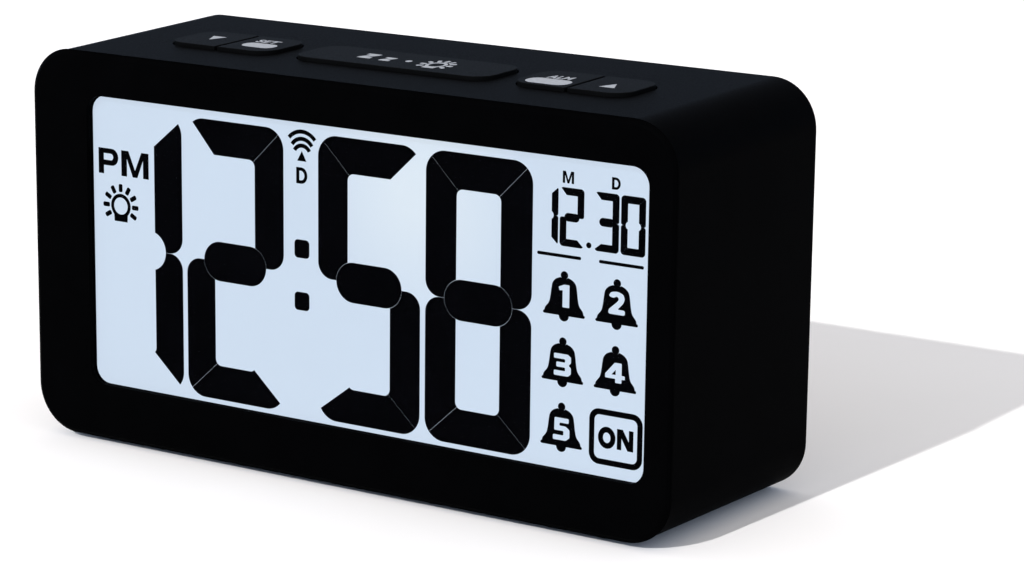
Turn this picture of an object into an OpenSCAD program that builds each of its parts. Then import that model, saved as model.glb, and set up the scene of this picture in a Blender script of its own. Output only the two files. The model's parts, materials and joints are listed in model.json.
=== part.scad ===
// Radio-controlled alarm clock: a drafted one-piece case with a wide display window,
// five keys along the top and a rear cover that carries the battery bay.
// Millimetres. Seen from the front, +X is to the right and +Z is up. The front face looks
// along -Y, and the rubber feet stand on z = 0.

/* [Case] */
// Width of the front face
front_w = 150; // [146:1:170]
// Height of the front face
front_h = 79.2; // [78:0.2:92]
// Depth from the front face to the rear rim
case_d = 52; // [51:1:66]
// Corner radius of the case seen from the front
corner_r = 9.4; // [7:0.2:12]
// Draft angle of the four sides, which widen towards the rear
draft = 1.15; // [0.4:0.05:1.6]
// Wall thickness of the case and of the rear cover
wall = 2.2; // [1.8:0.1:2.6]
// Chamfer round the front face
front_edge = 0.7; // [0.3:0.1:1.2]
// Height of the rear bottom edge above the table
base_gap = 0.4; // [0.3:0.1:1.5]
// Gap between the case and a piece that sits in it
seat_gap = 0.2; // [0.1:0.05:0.3]
// Diameter of a rubber foot
foot_d = 9; // [7:0.5:12]
// Depth of the socket that holds a foot
foot_sunk = 0.8; // [0.5:0.1:1.2]

/* [Window] */
// Front margin left of the window
margin_left = 13.9; // [13.5:0.1:20]
// Front margin right of the window
margin_right = 5.6; // [5.3:0.1:12]
// Front margin below the window
margin_bottom = 11.2; // [10.6:0.1:16]
// Front margin above the window
margin_top = 8.5; // [7.6:0.1:14]
// Corner radius of the window
window_r = 3.5; // [1:0.5:8]
// Width of the lens flange behind the window's edge
lens_rim = 1.4; // [1:0.1:2]
// Thickness of the lens flange
lens_t = 1; // [0.8:0.1:1.2]

/* [Display] */
// How far the display glass reaches past the window on the right, top and bottom
lcd_border = 1.6; // [1.2:0.1:1.8]
// How far the display glass reaches past the window on the left
lcd_left = 5.4; // [4:0.1:5.8]
// Height of the contact ledge below the rear glass
lcd_ledge = 3.4; // [2.6:0.1:3.8]
// Thickness of each glass of the display
glass_t = 1.1; // [0.7:0.1:1.5]
// Thickness of each polariser
film_t = 0.2; // [0.15:0.05:0.3]
// Thickness of the light guide
guide_t = 3; // [2:0.1:4]
// Thickness of the reflector sheet
reflector_t = 0.3; // [0.2:0.1:0.6]
// Thickness of the display frame's back plate
frame_t = 1.5; // [1.2:0.1:2]
// Thickness of the display frame's rails
rail_t = 0.8; // [0.6:0.1:1]
// Number of light-emitting diodes at the light guide's left edge
led_count = 4; // [2:1:6]

/* [Keys] */
// Depth of a key from front to rear
key_depth = 15; // [12:0.2:16]
// Place of the keys' centre line in the depth of the case
key_y = -1.9; // [-3:0.1:0]
// Width of the snooze key
snooze_w = 46; // [36:1:48]
// Width of a pair of small keys
pair_w = 25.5; // [20:0.5:26]
// Case top left between the snooze key and a pair
key_space = 5.5; // [5:0.1:8]
// Gap between the two keys of a pair
key_split = 0.6; // [0.5:0.1:1]
// Corner radius of the keys
key_corner = 4.5; // [2:0.5:6]
// How far the keys stand above the case top
key_rise = 0.7; // [0.5:0.1:1.5]
// Gap round a key
key_gap = 0.3; // [0.25:0.05:0.5]
// Thickness of a key's skin
key_skin = 1.5; // [1.2:0.1:2]
// Width of the flange that holds a key under the case top
key_flange = 1.2; // [0.8:0.1:1.6]
// Travel of a key
key_travel = 0.8; // [0.5:0.1:1.2]
// Height of a silicone dome
dome_h = 2.4; // [2:0.1:3]
// Thickness of the key mat
mat_t = 1; // [0.8:0.1:1.4]

/* [Boards] */
// Thickness of the circuit boards
board_t = 1.6; // [1:0.1:2]
// Height of the pillars between the display frame and the main board
pillar_h = 1.6; // [1.2:0.1:2.5]

/* [Battery bay] */
// Diameter of a cell
cell_d = 14.2; // [13.8:0.1:14.5]
// Length of a cell with its contact nub
cell_l = 50.3; // [49.5:0.1:50.5]
// Room left beside a cell
cell_gap = 0.8; // [0.5:0.1:1.2]
// Number of cells
cells = 3; // [2:1:3]
// Length of a contact spring with a cell in place
spring_l = 5; // [4.5:0.1:6]
// Wire of a contact spring
spring_wire = 0.7; // [0.6:0.05:0.8]
// Turns of a contact spring
spring_turns = 4; // [3:0.5:4]
// Thickness of the contact plates
contact_t = 0.5; // [0.3:0.1:0.8]
// Wall of the battery bay
bay_t = 1.6; // [1.2:0.1:2]
// Place of the bay's centre, left of the middle of the clock
bay_left = 14; // [10:0.5:18]
// Height of the bay's lowest inner face above the rear bottom edge of the case
bay_lift = 8.5; // [6.5:0.1:12]
// Width of the ledge that the battery door rests on
door_ledge = 1.4; // [1:0.1:1.8]
// Gap round the battery door
door_gap = 0.3; // [0.2:0.05:0.5]
// How far the rear cover lies inside the rim of the case
cover_sunk = 0.4; // [0.3:0.1:1]

/* [Radio and sound] */
// Diameter of the ferrite rod
rod_d = 8; // [6:0.5:9]
// Length of the ferrite rod
rod_l = 60; // [50:1:70]
// Outer diameter of the aerial coil
coil_d = 11; // [10:0.5:12]
// Length of the aerial coil
coil_l = 18; // [12:1:24]
// Diameter of the buzzer
buzzer_d = 24; // [18:0.5:26]
// Height of the buzzer
buzzer_h = 6; // [4:0.5:8]
// Place of the buzzer, right of the middle of the clock
buzzer_x = 44; // [40:1:48]
// Width of a sound slot
slot_w = 1.8; // [1.2:0.1:2.4]

/* [Screws] */
// Shank of a rear cover screw
cover_screw_d = 2.6; // [2:0.1:3]
// Shank of a small screw
small_screw_d = 1.8; // [1.6:0.1:2]
// Diameter of the posts that take the rear cover screws
post_d = 6.6; // [6:0.1:7.5]
// Diameter of the pillars and bosses that take the small screws
boss_d = 4.6; // [4.2:0.1:5]

/* [Hidden] */
$fn = 64;

// How far a cut runs past the face that it opens
past = 1;
// Radial room round a screw's shank, and round a piece that slips into a socket
screw_room = 0.1;
slip = 0.15;
// Room between inner pieces that face each other, and between those that pass each other
face_gap = 0.1;
pass_gap = 0.6;
// Heads of the screws
cover_head_d = 5;
cover_head_h = 1.4;
small_head_d = 3.4;
small_head_h = 1.2;

// The drafted body: half sizes and heights at a depth y
slope = tan(draft);
y_front = -case_d / 2;
y_rear = case_d / 2;
axis_z = base_gap + case_d * slope + front_h / 2;
function half_w(y) = front_w / 2 + (y - y_front) * slope;
function half_h(y) = front_h / 2 + (y - y_front) * slope;
function top_z(y) = axis_z + half_h(y);
function bottom_z(y) = axis_z - half_h(y);

// The window, and the layers of the display behind it
win_x0 = -front_w / 2 + margin_left;
win_x1 = front_w / 2 - margin_right;
win_z0 = bottom_z(y_front) + margin_bottom;
win_z1 = top_z(y_front) - margin_top;
lens_sunk = 0.1;
y_wall = y_front + wall;
y_film = y_wall + face_gap;
y_glass = y_film + film_t;
y_rear_glass = y_glass + glass_t;
y_rear_film = y_rear_glass + glass_t;
y_guide = y_rear_film + film_t;
y_reflector = y_guide + guide_t;
y_plate = y_reflector + reflector_t;
y_pillar = y_plate + frame_t;
y_board = y_pillar + pillar_h;
y_board_rear = y_board + board_t;
lcd_x0 = win_x0 - lcd_left;
lcd_x1 = win_x1 + lcd_border;
lcd_z0 = win_z0 - lcd_border;
lcd_z1 = win_z1 + lcd_border;
ledge_z = lcd_z0 - lcd_ledge;

// The display frame, its rails and its bosses in the case
rail_out = slip + rail_t;
frame_x0 = lcd_x0 - rail_out;
frame_x1 = lcd_x1 + rail_out;
frame_z0 = ledge_z - rail_out;
frame_z1 = lcd_z1 + rail_out;
frame_r = 5;
rail_stop = 10;
rail_y = y_wall + 2 * slip;
boss_gap = 0.4;
boss_x = frame_x0 - boss_gap - boss_d / 2;
boss_inset = 12;
boss_z = [win_z0 + boss_inset, win_z1 - boss_inset];
boss_web = 2;
ear_h = 6;
hook_inset = 14;
hook_z = [win_z0 + hook_inset, win_z1 - hook_inset];
hook_w = 6;
hook_bite = 1.2;
hook_l = 5;
cutouts = 3;
cutout_bar = 8;
cutout_inset = 10;
cutout_r = 3;
led_strip_t = 0.6;
led_t = 0.8;
led_w = 3;
led_inset = 4;
zebra_edge = 0.5;
zebra_h = lcd_ledge - 2 * zebra_edge;
zebra_z = ledge_z + zebra_edge;
zebra_inset = 12;
zebra_x0 = lcd_x0 + zebra_inset;
zebra_x1 = lcd_x1 - zebra_inset;

// The keys: heights of flange, dome, mat and key board under the case top
pair_x = snooze_w / 2 + key_space + pair_w / 2;
key_front = key_y - key_depth / 2;
key_back = key_y + key_depth / 2;
ceiling_z = top_z(key_front - key_flange - pass_gap) - wall;
flange_t = 1.2;
flange_top = ceiling_z - key_gap;
flange_z = flange_top - flange_t;
plunger_d = 4;
plunger_out = 0.4;
plunger_z = flange_z - key_travel - plunger_out;
dome_top = plunger_z - face_gap;
dome_d = 8;
dome_top_d = 5;
dome_skin = 1.2;
mat_top = dome_top - dome_h;
key_board_top = mat_top - mat_t;
key_board_z = key_board_top - board_t;
dome_x = [-pair_x - pair_w / 4, -pair_x + pair_w / 4, -snooze_w / 4, snooze_w / 4,
          pair_x - pair_w / 4, pair_x + pair_w / 4];
end_boss_x = pair_x + pair_w / 2 + key_flange + pass_gap + boss_d / 2;
rear_boss_y = key_back + key_flange + pass_gap + boss_d / 2;
key_boss = [for (s = [-1, 1]) each [
    [s * end_boss_x, key_y - key_depth / 3],
    [s * end_boss_x, key_y + key_depth / 3],
    [s * (snooze_w + key_space) / 2, rear_boss_y]
]];
boss_drill = 5;
key_board_x = end_boss_x + boss_d / 2 + pass_gap;
key_board_y0 = key_front - key_flange - pass_gap;
key_board_y1 = rear_boss_y + boss_d / 2 + pass_gap;
under_heads_z = key_board_z - small_head_h - pass_gap;

// The main board and the pillars of the display frame that carry it
board_left = 6;
board_right = 2.6;
board_x0 = lcd_x0 + board_left;
board_x1 = lcd_x1 - board_right;
board_z0 = ledge_z - seat_gap;
board_z1 = key_board_z - pass_gap;
pillar_inset = 4;
pillar_lift = 6;
pillar_at = [for (x = [board_x0 + pillar_inset, board_x1 - pillar_inset])
    for (z = [win_z0 + pillar_lift, board_z1 - pillar_lift]) [x, z]];

// The rear cover, the battery bay and its door
cover_y1 = y_rear - cover_sunk;
cover_y0 = cover_y1 - wall;
cover_mid = cover_y0 + wall / 2;
post_x = front_w / 2 - post_d;
post_lift = 10.4;
post_z = [bottom_z(y_front) + post_lift, under_heads_z - post_d / 2];
post_y = y_board_rear + 2.5;
post_web = 2;
post_drill = 12;
counterbore = wall / 2;
pitch = cell_d + cell_gap;
bay_l = cell_l + spring_l + 2 * contact_t + 2 * seat_gap;
bay_h = cells * pitch;
bay_d = cell_d + cell_gap + seat_gap;
bay_x0 = -bay_left - bay_l / 2;
bay_x1 = -bay_left + bay_l / 2;
bay_z0 = bottom_z(y_rear) + bay_lift;
bay_z1 = bay_z0 + bay_h;
bay_z = (bay_z0 + bay_z1) / 2;
bay_y0 = cover_y0 - bay_d;
cell_y = bay_y0 + seat_gap + cell_d / 2;
collar_t = 1.2;
collar = door_ledge + door_gap + collar_t;
collar_d = 3;
door_r = 2.5;
door_t = wall - seat_gap;
door_y = cover_y1 - door_t;
door_top = bay_z1 + door_ledge;
hinge_y = cover_y1 - door_t / 2;
hinge_z = bay_z0 - door_ledge + door_t / 2;
tab_w = 7;
tab_l = 3;
tab_x = [for (s = [-1, 1]) -bay_left + s * bay_l / 3.2];
skin_t = 0.8;
latch_w = 14;
latch_l = 9;
latch_slit = 0.8;
latch_lines = 3;
line_w = 0.8;
line_deep = 0.4;
thumb_r = 8;
contact_w = 10;
spring_d = 9;
spring_top_d = 5;
nub_d = 5.4;
nub_l = 1.3;

// The aerial rod, under the key board and in front of the bay, the key ribbon and the buzzer
aerial_y = bay_y0 - bay_t - pass_gap - coil_d / 2;
aerial_z = under_heads_z - coil_d / 2;
rod_x0 = -bay_left - rod_l / 2;
rod_end = 3;
coil_x0 = rod_x0 + rod_end;
coil_flange = 1;
winding_d = coil_d - 1.4;
ribbon_x = rod_x0 + rod_l + rod_end;
ribbon_w = 16;
ribbon_t = 0.6;
ribbon_bend = 3;
rib_t = 2.4;
rib_edge = 2;
rib_x = [coil_x0 + coil_l + 2 * rod_end, rod_x0 + rod_l - 2 * rod_end];
buzzer_z = axis_z;
socket_t = 1.2;
slots = 5;

// Parts on the rear of the main board
board_mid = (board_x0 + board_x1) / 2;
blob_d = 18;
blob_h = 2.4;
can_d = 2;
can_l = 6;
can_x = board_mid + blob_d / 2 + 6;
can_pitch = 5;
capacitor_d = 5;
capacitor_h = 7;
capacitor_x = board_mid - blob_d / 2 - capacitor_d;
capacitor_pitch = 9;
header_w = 9;
header_d = 5.5;
header_h = 5;
header_skin = 0.8;
header_lift = 10;
header_z = win_z0 + header_lift;
battery_header_x = capacitor_x - 2 * header_w;
buzzer_header_x = buzzer_x - header_w / 2 - 2;
pin_step = 2.5;
pin_y = y_board_rear + 1;
pin_out_y = y_board_rear + header_h + 1.5;
pin_z = header_z + header_d / 2;
receiver_w = 22;
receiver_h = 16;
receiver_t = 1;
receiver_x = board_x0 + 12;
receiver_y = y_board_rear + 2.5;
receiver_z = aerial_z - coil_d / 2 - pass_gap - receiver_h;
receiver_back = receiver_y + receiver_t;
strip_h = 2.5;
chip_w = 8;
chip_h = 6;
chip_t = 1.2;

// Routes of the leads, from the rear cover's pieces to the main board
lead_d = 1.2;
wire_d = 0.8;
low_cell = cell_z(0);
high_cell = cell_z(cells - 1);
black_x = battery_header_x + header_w / 2 - pin_step;
red_x = battery_header_x + header_w / 2 + pin_step;
black_route = [
    [bay_x0, cell_y, low_cell],
    [bay_x0 - bay_t - 0.5, cell_y, low_cell],
    [bay_x0 - bay_t - 3, cell_y, low_cell],
    [-49, 9, 17.5],
    [-42, 1, 20],
    [-34, -3, 24],
    [black_x, pin_out_y, pin_z],
    [black_x, pin_y, pin_z]
];
red_route = [
    [bay_x1, cell_y, high_cell],
    [bay_x1 + bay_t + 0.5, cell_y, high_cell],
    [bay_x1 + bay_t + 3, cell_y, high_cell],
    [21, 8, 45],
    [13, 1, 40],
    [0, -2, 32],
    [-13, -4, 27],
    [red_x, pin_out_y, pin_z],
    [red_x, pin_y, pin_z]
];
buzzer_routes = [for (s = [-1, 1]) [
    [buzzer_x + 2 * s, cover_y0 - seat_gap - buzzer_h, buzzer_z],
    [buzzer_x + 2 * s, 12, buzzer_z],
    [buzzer_x - 2 + 2 * s, 3, 37],
    [buzzer_x - 2 + 2 * s, -3, 29],
    [buzzer_header_x + header_w / 2 + 2 * s, pin_out_y, pin_z],
    [buzzer_header_x + header_w / 2 + 2 * s, pin_y, pin_z]
]];
// Each aerial wire leaves the winding square to it, half way between front and below
wire_out = [0, -1, -1] / sqrt(2);
coil_mid = [coil_x0 + coil_l / 2, aerial_y, aerial_z];
aerial_routes = [for (s = [-1, 1]) let (
    across = [5 * s, 0, 0],
    pad = [receiver_x + receiver_w / 2 + 8 * s, receiver_back, receiver_z + receiver_h - 3]
) [
    coil_mid + across + (winding_d / 2 + face_gap) * wire_out,
    coil_mid + across + (winding_d / 2 + 2.6) * wire_out,
    pad + [0, 2.5, 0],
    pad
]];

// A rounded rectangle round the origin
module rounded_rect(w, h, r) {
    square([w - 2 * r, h], center = true);
    square([w, h - 2 * r], center = true);
    for (x = [-1, 1], y = [-1, 1])
        translate([x * (w / 2 - r), y * (h / 2 - r)]) circle(r);
}

// An upright plate in the XZ plane, from depth y0 to depth y1
module upright(x0, x1, z0, z1, y0, y1, r = 0) {
    translate([(x0 + x1) / 2, y0, (z0 + z1) / 2]) rotate([-90, 0, 0])
        linear_extrude(y1 - y0) {
            if (r > 0) rounded_rect(x1 - x0, z1 - z0, r);
            else square([x1 - x0, z1 - z0], center = true);
        }
}

// A cylinder along +Y from depth y0 to depth y1
module rod_y(x, z, y0, y1, d) {
    translate([x, y0, z]) rotate([-90, 0, 0]) cylinder(d = d, h = y1 - y0);
}

// A slice of the drafted body, drawn in by inset at its front and by inset_rear at its rear
module body_slice(y0, y1, inset, inset_rear) {
    w0 = 2 * (half_w(y0) - inset);
    h0 = 2 * (half_h(y0) - inset);
    w1 = 2 * (half_w(y1) - inset_rear);
    h1 = 2 * (half_h(y1) - inset_rear);
    r = corner_r - min(inset, wall + seat_gap);
    translate([0, y0, axis_z]) rotate([-90, 0, 0])
        linear_extrude(y1 - y0, scale = [w1 / w0, h1 / h0], slices = 1)
            offset(r = r) square([w0 - 2 * r, h0 - 2 * r], center = true);
}

// A screw along -Z with its head's underside at the origin
module screw(d, l, head_d, head_h) {
    slot_d = head_h * 0.6;
    translate([0, 0, -l]) cylinder(d = d, h = l);
    difference() {
        cylinder(d = head_d, h = head_h);
        for (a = [0, 90])
            rotate([0, 0, a]) translate([0, 0, head_h])
                cube([head_d * 0.7, head_d * 0.18, 2 * slot_d], center = true);
    }
}

// The screw turned so that it drives towards the front, with its head on depth y
module rear_screw(x, y, z, d, l, head_d, head_h) {
    translate([x, y, z]) rotate([-90, 0, 0]) screw(d, l, head_d, head_h);
}

// The outline of a key group: -1 the left pair, 0 the snooze key, 1 the right pair
module group_outline(side, grow) {
    w = side == 0 ? snooze_w : pair_w;
    translate([side * pair_x, key_y])
        rounded_rect(w + 2 * grow, key_depth + 2 * grow, key_corner + grow);
}

// The outline of one key. half is 0 for the whole group, or -1 or 1 for its left or right key
module key_outline(side, half, grow) {
    if (half == 0) group_outline(side, grow);
    else intersection() {
        group_outline(side, grow);
        translate([side * pair_x + half * (pair_w + key_split) / 2, key_y])
            square([pair_w, 2 * key_depth], center = true);
    }
}

// Everything below the plane of the key tops
module below_key_tops(drop) {
    translate([0, 0, top_z(0) + key_rise - drop]) rotate([draft, 0, 0])
        translate([-front_w, -case_d, -front_h]) cube([2 * front_w, 2 * case_d, front_h]);
}

// A key: a hollow cap that follows the slope of the case top, a flange and its plungers
module key_cap(side, half) {
    first = 2 * (side + 1);
    presses = half == 0 ? [first, first + 1] : [half < 0 ? first : first + 1];
    difference() {
        union() {
            intersection() {
                translate([0, 0, flange_z]) linear_extrude(front_h) key_outline(side, half, 0);
                below_key_tops(0);
            }
            translate([0, 0, flange_z]) linear_extrude(flange_t) key_outline(side, half, key_flange);
        }
        intersection() {
            translate([0, 0, flange_z - past]) linear_extrude(front_h)
                key_hollow(side, half);
            below_key_tops(key_skin);
        }
    }
    for (i = presses)
        intersection() {
            translate([dome_x[i], key_y, plunger_z]) cylinder(d = plunger_d, h = front_h);
            below_key_tops(key_skin / 2);
        }
}

// The hollow inside a key
module key_hollow(side, half) {
    if (half == 0) group_outline(side, -key_skin);
    else intersection() {
        group_outline(side, -key_skin);
        translate([side * pair_x + half * (pair_w + key_split + 2 * key_skin) / 2, key_y])
            square([pair_w, 2 * key_depth], center = true);
    }
}

module case_shell() color([0.05, 0.05, 0.06]) {
    difference() {
        union() {
            body_slice(y_front, y_front + front_edge, front_edge, 0);
            body_slice(y_front + front_edge, y_rear, 0, 0);
        }
        difference() {
            body_slice(y_wall, y_rear + past, wall, wall);
            frame_bosses();
            key_bosses();
            cover_posts();
            frame_hooks();
        }
        // Window, and the rabbet for the lens flange
        upright(win_x0, win_x1, win_z0, win_z1, y_front - past, y_wall + past, window_r);
        upright(win_x0 - lens_rim - slip, win_x1 + lens_rim + slip, win_z0 - lens_rim - slip,
                win_z1 + lens_rim + slip, y_wall - lens_t, y_wall + slip, window_r);
        // Key openings
        for (side = [-1, 0, 1])
            translate([0, 0, ceiling_z - past]) linear_extrude(front_h) group_outline(side, key_gap);
        // Sockets for the feet
        for (p = foot_at())
            translate([p[0], p[1], -past])
                cylinder(d = foot_d + 2 * slip, h = past + foot_top(p[1]));
    }
}

// Bosses on the front wall for the display frame, drilled for its screws
module frame_bosses() {
    for (z = boss_z)
        difference() {
            union() {
                rod_y(boss_x, z, y_wall - past, y_plate, boss_d);
                upright(-front_w, boss_x, z - boss_web / 2, z + boss_web / 2, y_wall - past, y_plate);
            }
            rod_y(boss_x, z, y_wall + pass_gap, y_plate + past, small_screw_d + 2 * screw_room);
        }
}

// Bosses under the case top for the key board, drilled from below
module key_bosses() {
    for (p = key_boss)
        difference() {
            translate([p[0], p[1], key_board_top]) cylinder(d = boss_d, h = front_h);
            translate([p[0], p[1], key_board_top - past])
                cylinder(d = small_screw_d + 2 * screw_room, h = past + boss_drill);
        }
}

// Posts for the rear cover screws, each on a web to the side wall
module cover_posts() {
    for (s = [-1, 1], z = post_z)
        difference() {
            union() {
                rod_y(s * post_x, z, post_y, cover_y0, post_d);
                upright(s < 0 ? -front_w : post_x, s < 0 ? -post_x : front_w,
                        z - post_web / 2, z + post_web / 2, post_y, cover_y0 - past);
            }
            rod_y(s * post_x, z, cover_y0 - post_drill, cover_y0 + past, cover_screw_d + 2 * screw_room);
        }
}

// Hooks on the right wall that hold the display frame's right edge
module frame_hooks() {
    for (z = hook_z)
        translate([0, 0, z - hook_w / 2]) linear_extrude(hook_w)
            polygon([
                [frame_x1 - hook_bite, y_pillar + face_gap],
                [front_w, y_pillar + face_gap],
                [front_w, y_pillar + hook_l],
                [frame_x1, y_pillar + hook_l / 2],
                [frame_x1 - hook_bite, y_pillar + hook_bite]
            ]);
}

// Places of the feet, and the height of the socket's ceiling at depth y
foot_inset = [16, 8];
function foot_at() = [for (x = [-1, 1], y = [-1, 1])
    [x * (front_w / 2 - foot_inset[0]), y * (case_d / 2 - foot_inset[1])]];
function foot_top(y) = bottom_z(y) + foot_sunk;

module front_lens() color([0.85, 0.9, 0.95, 0.4]) {
    upright(win_x0 + slip, win_x1 - slip, win_z0 + slip, win_z1 - slip,
            y_front + lens_sunk, y_wall, window_r - slip);
    upright(win_x0 - lens_rim, win_x1 + lens_rim, win_z0 - lens_rim, win_z1 + lens_rim,
            y_wall - lens_t, y_wall, window_r);
}

// A film on the front and on the rear of the display glass
module polarisers() color([0.55, 0.6, 0.6])
    for (y = [y_film, y_rear_film])
        upright(lcd_x0 + pass_gap, lcd_x1 - pass_gap, lcd_z0 + pass_gap, lcd_z1 - pass_gap, y, y + film_t);

// Two glasses, of which the front one reaches down to the contact ledge
module lcd_panel() color([0.8, 0.86, 0.94]) {
    upright(lcd_x0, lcd_x1, ledge_z, lcd_z1, y_glass, y_rear_glass);
    upright(lcd_x0, lcd_x1, lcd_z0, lcd_z1, y_glass, y_rear_film);
}

module light_guide() color([0.9, 0.95, 1])
    upright(lcd_x0 + led_strip_t + led_t + seat_gap, lcd_x1, lcd_z0, lcd_z1, y_guide, y_reflector);

module reflector_sheet() color("white")
    upright(lcd_x0 + led_strip_t + led_t + seat_gap, lcd_x1, lcd_z0, lcd_z1, y_reflector, y_plate);

// A strip on edge that carries the diodes, which shine into the light guide
module backlight_leds() color([0.95, 0.95, 0.8]) {
    upright(lcd_x0, lcd_x0 + led_strip_t, lcd_z0 + led_inset, lcd_z1 - led_inset,
            y_guide + face_gap, y_reflector);
    for (i = [0 : led_count - 1]) {
        z = lcd_z0 + (i + 0.5) * (lcd_z1 - lcd_z0) / led_count;
        upright(lcd_x0 + led_strip_t / 2, lcd_x0 + led_strip_t + led_t, z - led_w / 2, z + led_w / 2,
                y_guide + 2 * slip, y_reflector - 2 * slip);
    }
}

module lcd_frame() color([0.92, 0.92, 0.9]) {
    difference() {
        union() {
            upright(frame_x0, frame_x1, frame_z0, frame_z1, y_plate, y_pillar, frame_r);
            for (z = boss_z)
                upright(boss_x - boss_d / 2 + pass_gap, frame_x0 + boss_d, z - ear_h / 2, z + ear_h / 2,
                        y_plate, y_pillar, frame_t / 2);
            for (p = pillar_at) rod_y(p[0], p[1], y_plate, y_board, boss_d);
            frame_rails();
        }
        frame_cutouts();
        upright(zebra_x0 - slip, zebra_x1 + slip, zebra_z - slip, zebra_z + zebra_h + slip,
                y_plate - past, y_pillar + past);
        for (z = boss_z)
            rod_y(boss_x, z, y_plate - past, y_pillar + past, small_screw_d + 4 * screw_room);
        for (p = pillar_at)
            rod_y(p[0], p[1], y_plate + pass_gap, y_board + past, small_screw_d + 2 * screw_room);
    }
}

// Rails round the glass and the light guide, open at the corners
module frame_rails() {
    upright(lcd_x0 + rail_stop, lcd_x1 - rail_stop, lcd_z1 + slip, frame_z1, rail_y, y_pillar);
    upright(lcd_x0 + rail_stop, lcd_x1 - rail_stop, frame_z0, ledge_z - slip, rail_y, y_pillar);
    upright(frame_x0, lcd_x0 - slip, lcd_z0 + rail_stop, lcd_z1 - rail_stop, rail_y, y_pillar);
    upright(lcd_x1 + slip, frame_x1, lcd_z0 + rail_stop, lcd_z1 - rail_stop, rail_y, y_pillar);
}

// Openings that lighten the back plate
module frame_cutouts() {
    span = (lcd_x1 - lcd_x0 - 2 * cutout_inset - (cutouts - 1) * cutout_bar) / cutouts;
    for (i = [0 : cutouts - 1]) {
        x = lcd_x0 + cutout_inset + i * (span + cutout_bar);
        upright(x, x + span, win_z0 + hook_inset, win_z1 - hook_inset,
                y_plate - past, y_pillar + past, cutout_r);
    }
}

module zebra_strip() color([0.75, 0.55, 0.6])
    upright(zebra_x0, zebra_x1, zebra_z, zebra_z + zebra_h, y_rear_glass, y_board);

module main_board() color([0.1, 0.4, 0.2])
    difference() {
        upright(board_x0, board_x1, board_z0, board_z1, y_board, y_board_rear);
        for (p = pillar_at)
            rod_y(p[0], p[1], y_board - past, y_board_rear + past, small_screw_d + 4 * screw_room);
    }

// The black resin that covers the controller on the rear of the main board
module controller_blob() color([0.06, 0.06, 0.07]) {
    ball_r = (blob_d * blob_d / 4 + blob_h * blob_h) / (2 * blob_h);
    translate([board_mid, y_board_rear, axis_z]) rotate([-90, 0, 0])
        intersection() {
            translate([0, 0, blob_h - ball_r]) sphere(ball_r, $fn = 360);
            cylinder(d = blob_d + past, h = blob_h + past);
        }
}

// Two quartz crystals in cans that lie flat on the main board
module crystal_cans() color([0.75, 0.75, 0.78])
    for (i = [0, 1])
        translate([can_x + i * can_pitch, y_board_rear + can_d / 2 + face_gap, axis_z - can_l])
            cylinder(d = can_d, h = can_l);

module capacitors() color([0.12, 0.14, 0.3])
    for (s = [-1, 1])
        rod_y(capacitor_x, axis_z + s * capacitor_pitch / 2, y_board_rear, y_board_rear + capacitor_h,
              capacitor_d);

// Pin headers for the battery and buzzer leads
module connectors() color([0.94, 0.93, 0.88])
    for (x = [battery_header_x, buzzer_header_x])
        difference() {
            upright(x, x + header_w, header_z, header_z + header_d, y_board_rear, y_board_rear + header_h);
            upright(x + header_skin, x + header_w - header_skin, header_z + header_skin,
                    header_z + header_d - header_skin, pin_y, y_board_rear + header_h + past);
        }

// The radio receiver, a small board on a pin strip behind the main board
module receiver_module() color([0.1, 0.25, 0.5]) {
    x = receiver_x;
    z = receiver_z;
    chip_x = x + (receiver_w - chip_w) / 2;
    chip_z = z + (receiver_h - chip_h) / 2;
    upright(x, x + receiver_w, z, z + strip_h, y_board_rear, receiver_back);
    upright(x, x + receiver_w, z, z + receiver_h, receiver_y, receiver_back);
    upright(chip_x, chip_x + chip_w, chip_z, chip_z + chip_h, receiver_y, receiver_back + chip_t);
}

module key_board() color([0.1, 0.4, 0.2])
    difference() {
        translate([-key_board_x, key_board_y0, key_board_z])
            cube([2 * key_board_x, key_board_y1 - key_board_y0, board_t]);
        for (p = key_boss)
            translate([p[0], p[1], key_board_z - past])
                cylinder(d = small_screw_d + 4 * screw_room, h = board_t + 2 * past);
    }

// One silicone sheet with a hollow dome under each plunger
module key_mat() color([0.5, 0.5, 0.52])
    difference() {
        union() {
            translate([-pair_x - pair_w / 2, key_front, key_board_top])
                cube([2 * pair_x + pair_w, key_depth, mat_t]);
            for (x = dome_x)
                translate([x, key_y, key_board_top])
                    cylinder(d1 = dome_d, d2 = dome_top_d, h = mat_t + dome_h);
        }
        for (x = dome_x)
            translate([x, key_y, key_board_top - past])
                cylinder(d1 = dome_d - dome_skin, d2 = dome_top_d - 2 * dome_skin,
                         h = past + mat_t + dome_h - dome_skin);
    }

// The flat cable that bends from under the key board to the rear of the main board
module key_ribbon() color([0.8, 0.8, 0.78]) {
    bend_y = y_board_rear + ribbon_bend;
    bend_z = key_board_z - 2 * ribbon_bend;
    translate([ribbon_x, 0, 0]) rotate([90, 0, 90]) linear_extrude(ribbon_w) {
        translate([bend_y + ribbon_bend, bend_z]) square([ribbon_t, key_board_z - bend_z]);
        translate([bend_y, bend_z])
            intersection() {
                difference() {
                    circle(ribbon_bend + ribbon_t);
                    circle(ribbon_bend);
                }
                translate([-ribbon_t, -2 * ribbon_bend]) square(2 * ribbon_bend + ribbon_t);
            }
        translate([y_board_rear, bend_z - ribbon_bend - ribbon_t]) square([ribbon_bend, ribbon_t]);
    }
}

module key_down() color([0.1, 0.1, 0.12]) key_cap(-1, -1);

module key_set() color([0.1, 0.1, 0.12]) key_cap(-1, 1);

module key_snooze() color([0.1, 0.1, 0.12]) key_cap(0, 0);

module key_alarm() color([0.1, 0.1, 0.12]) key_cap(1, -1);

module key_up() color([0.1, 0.1, 0.12]) key_cap(1, 1);

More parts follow.
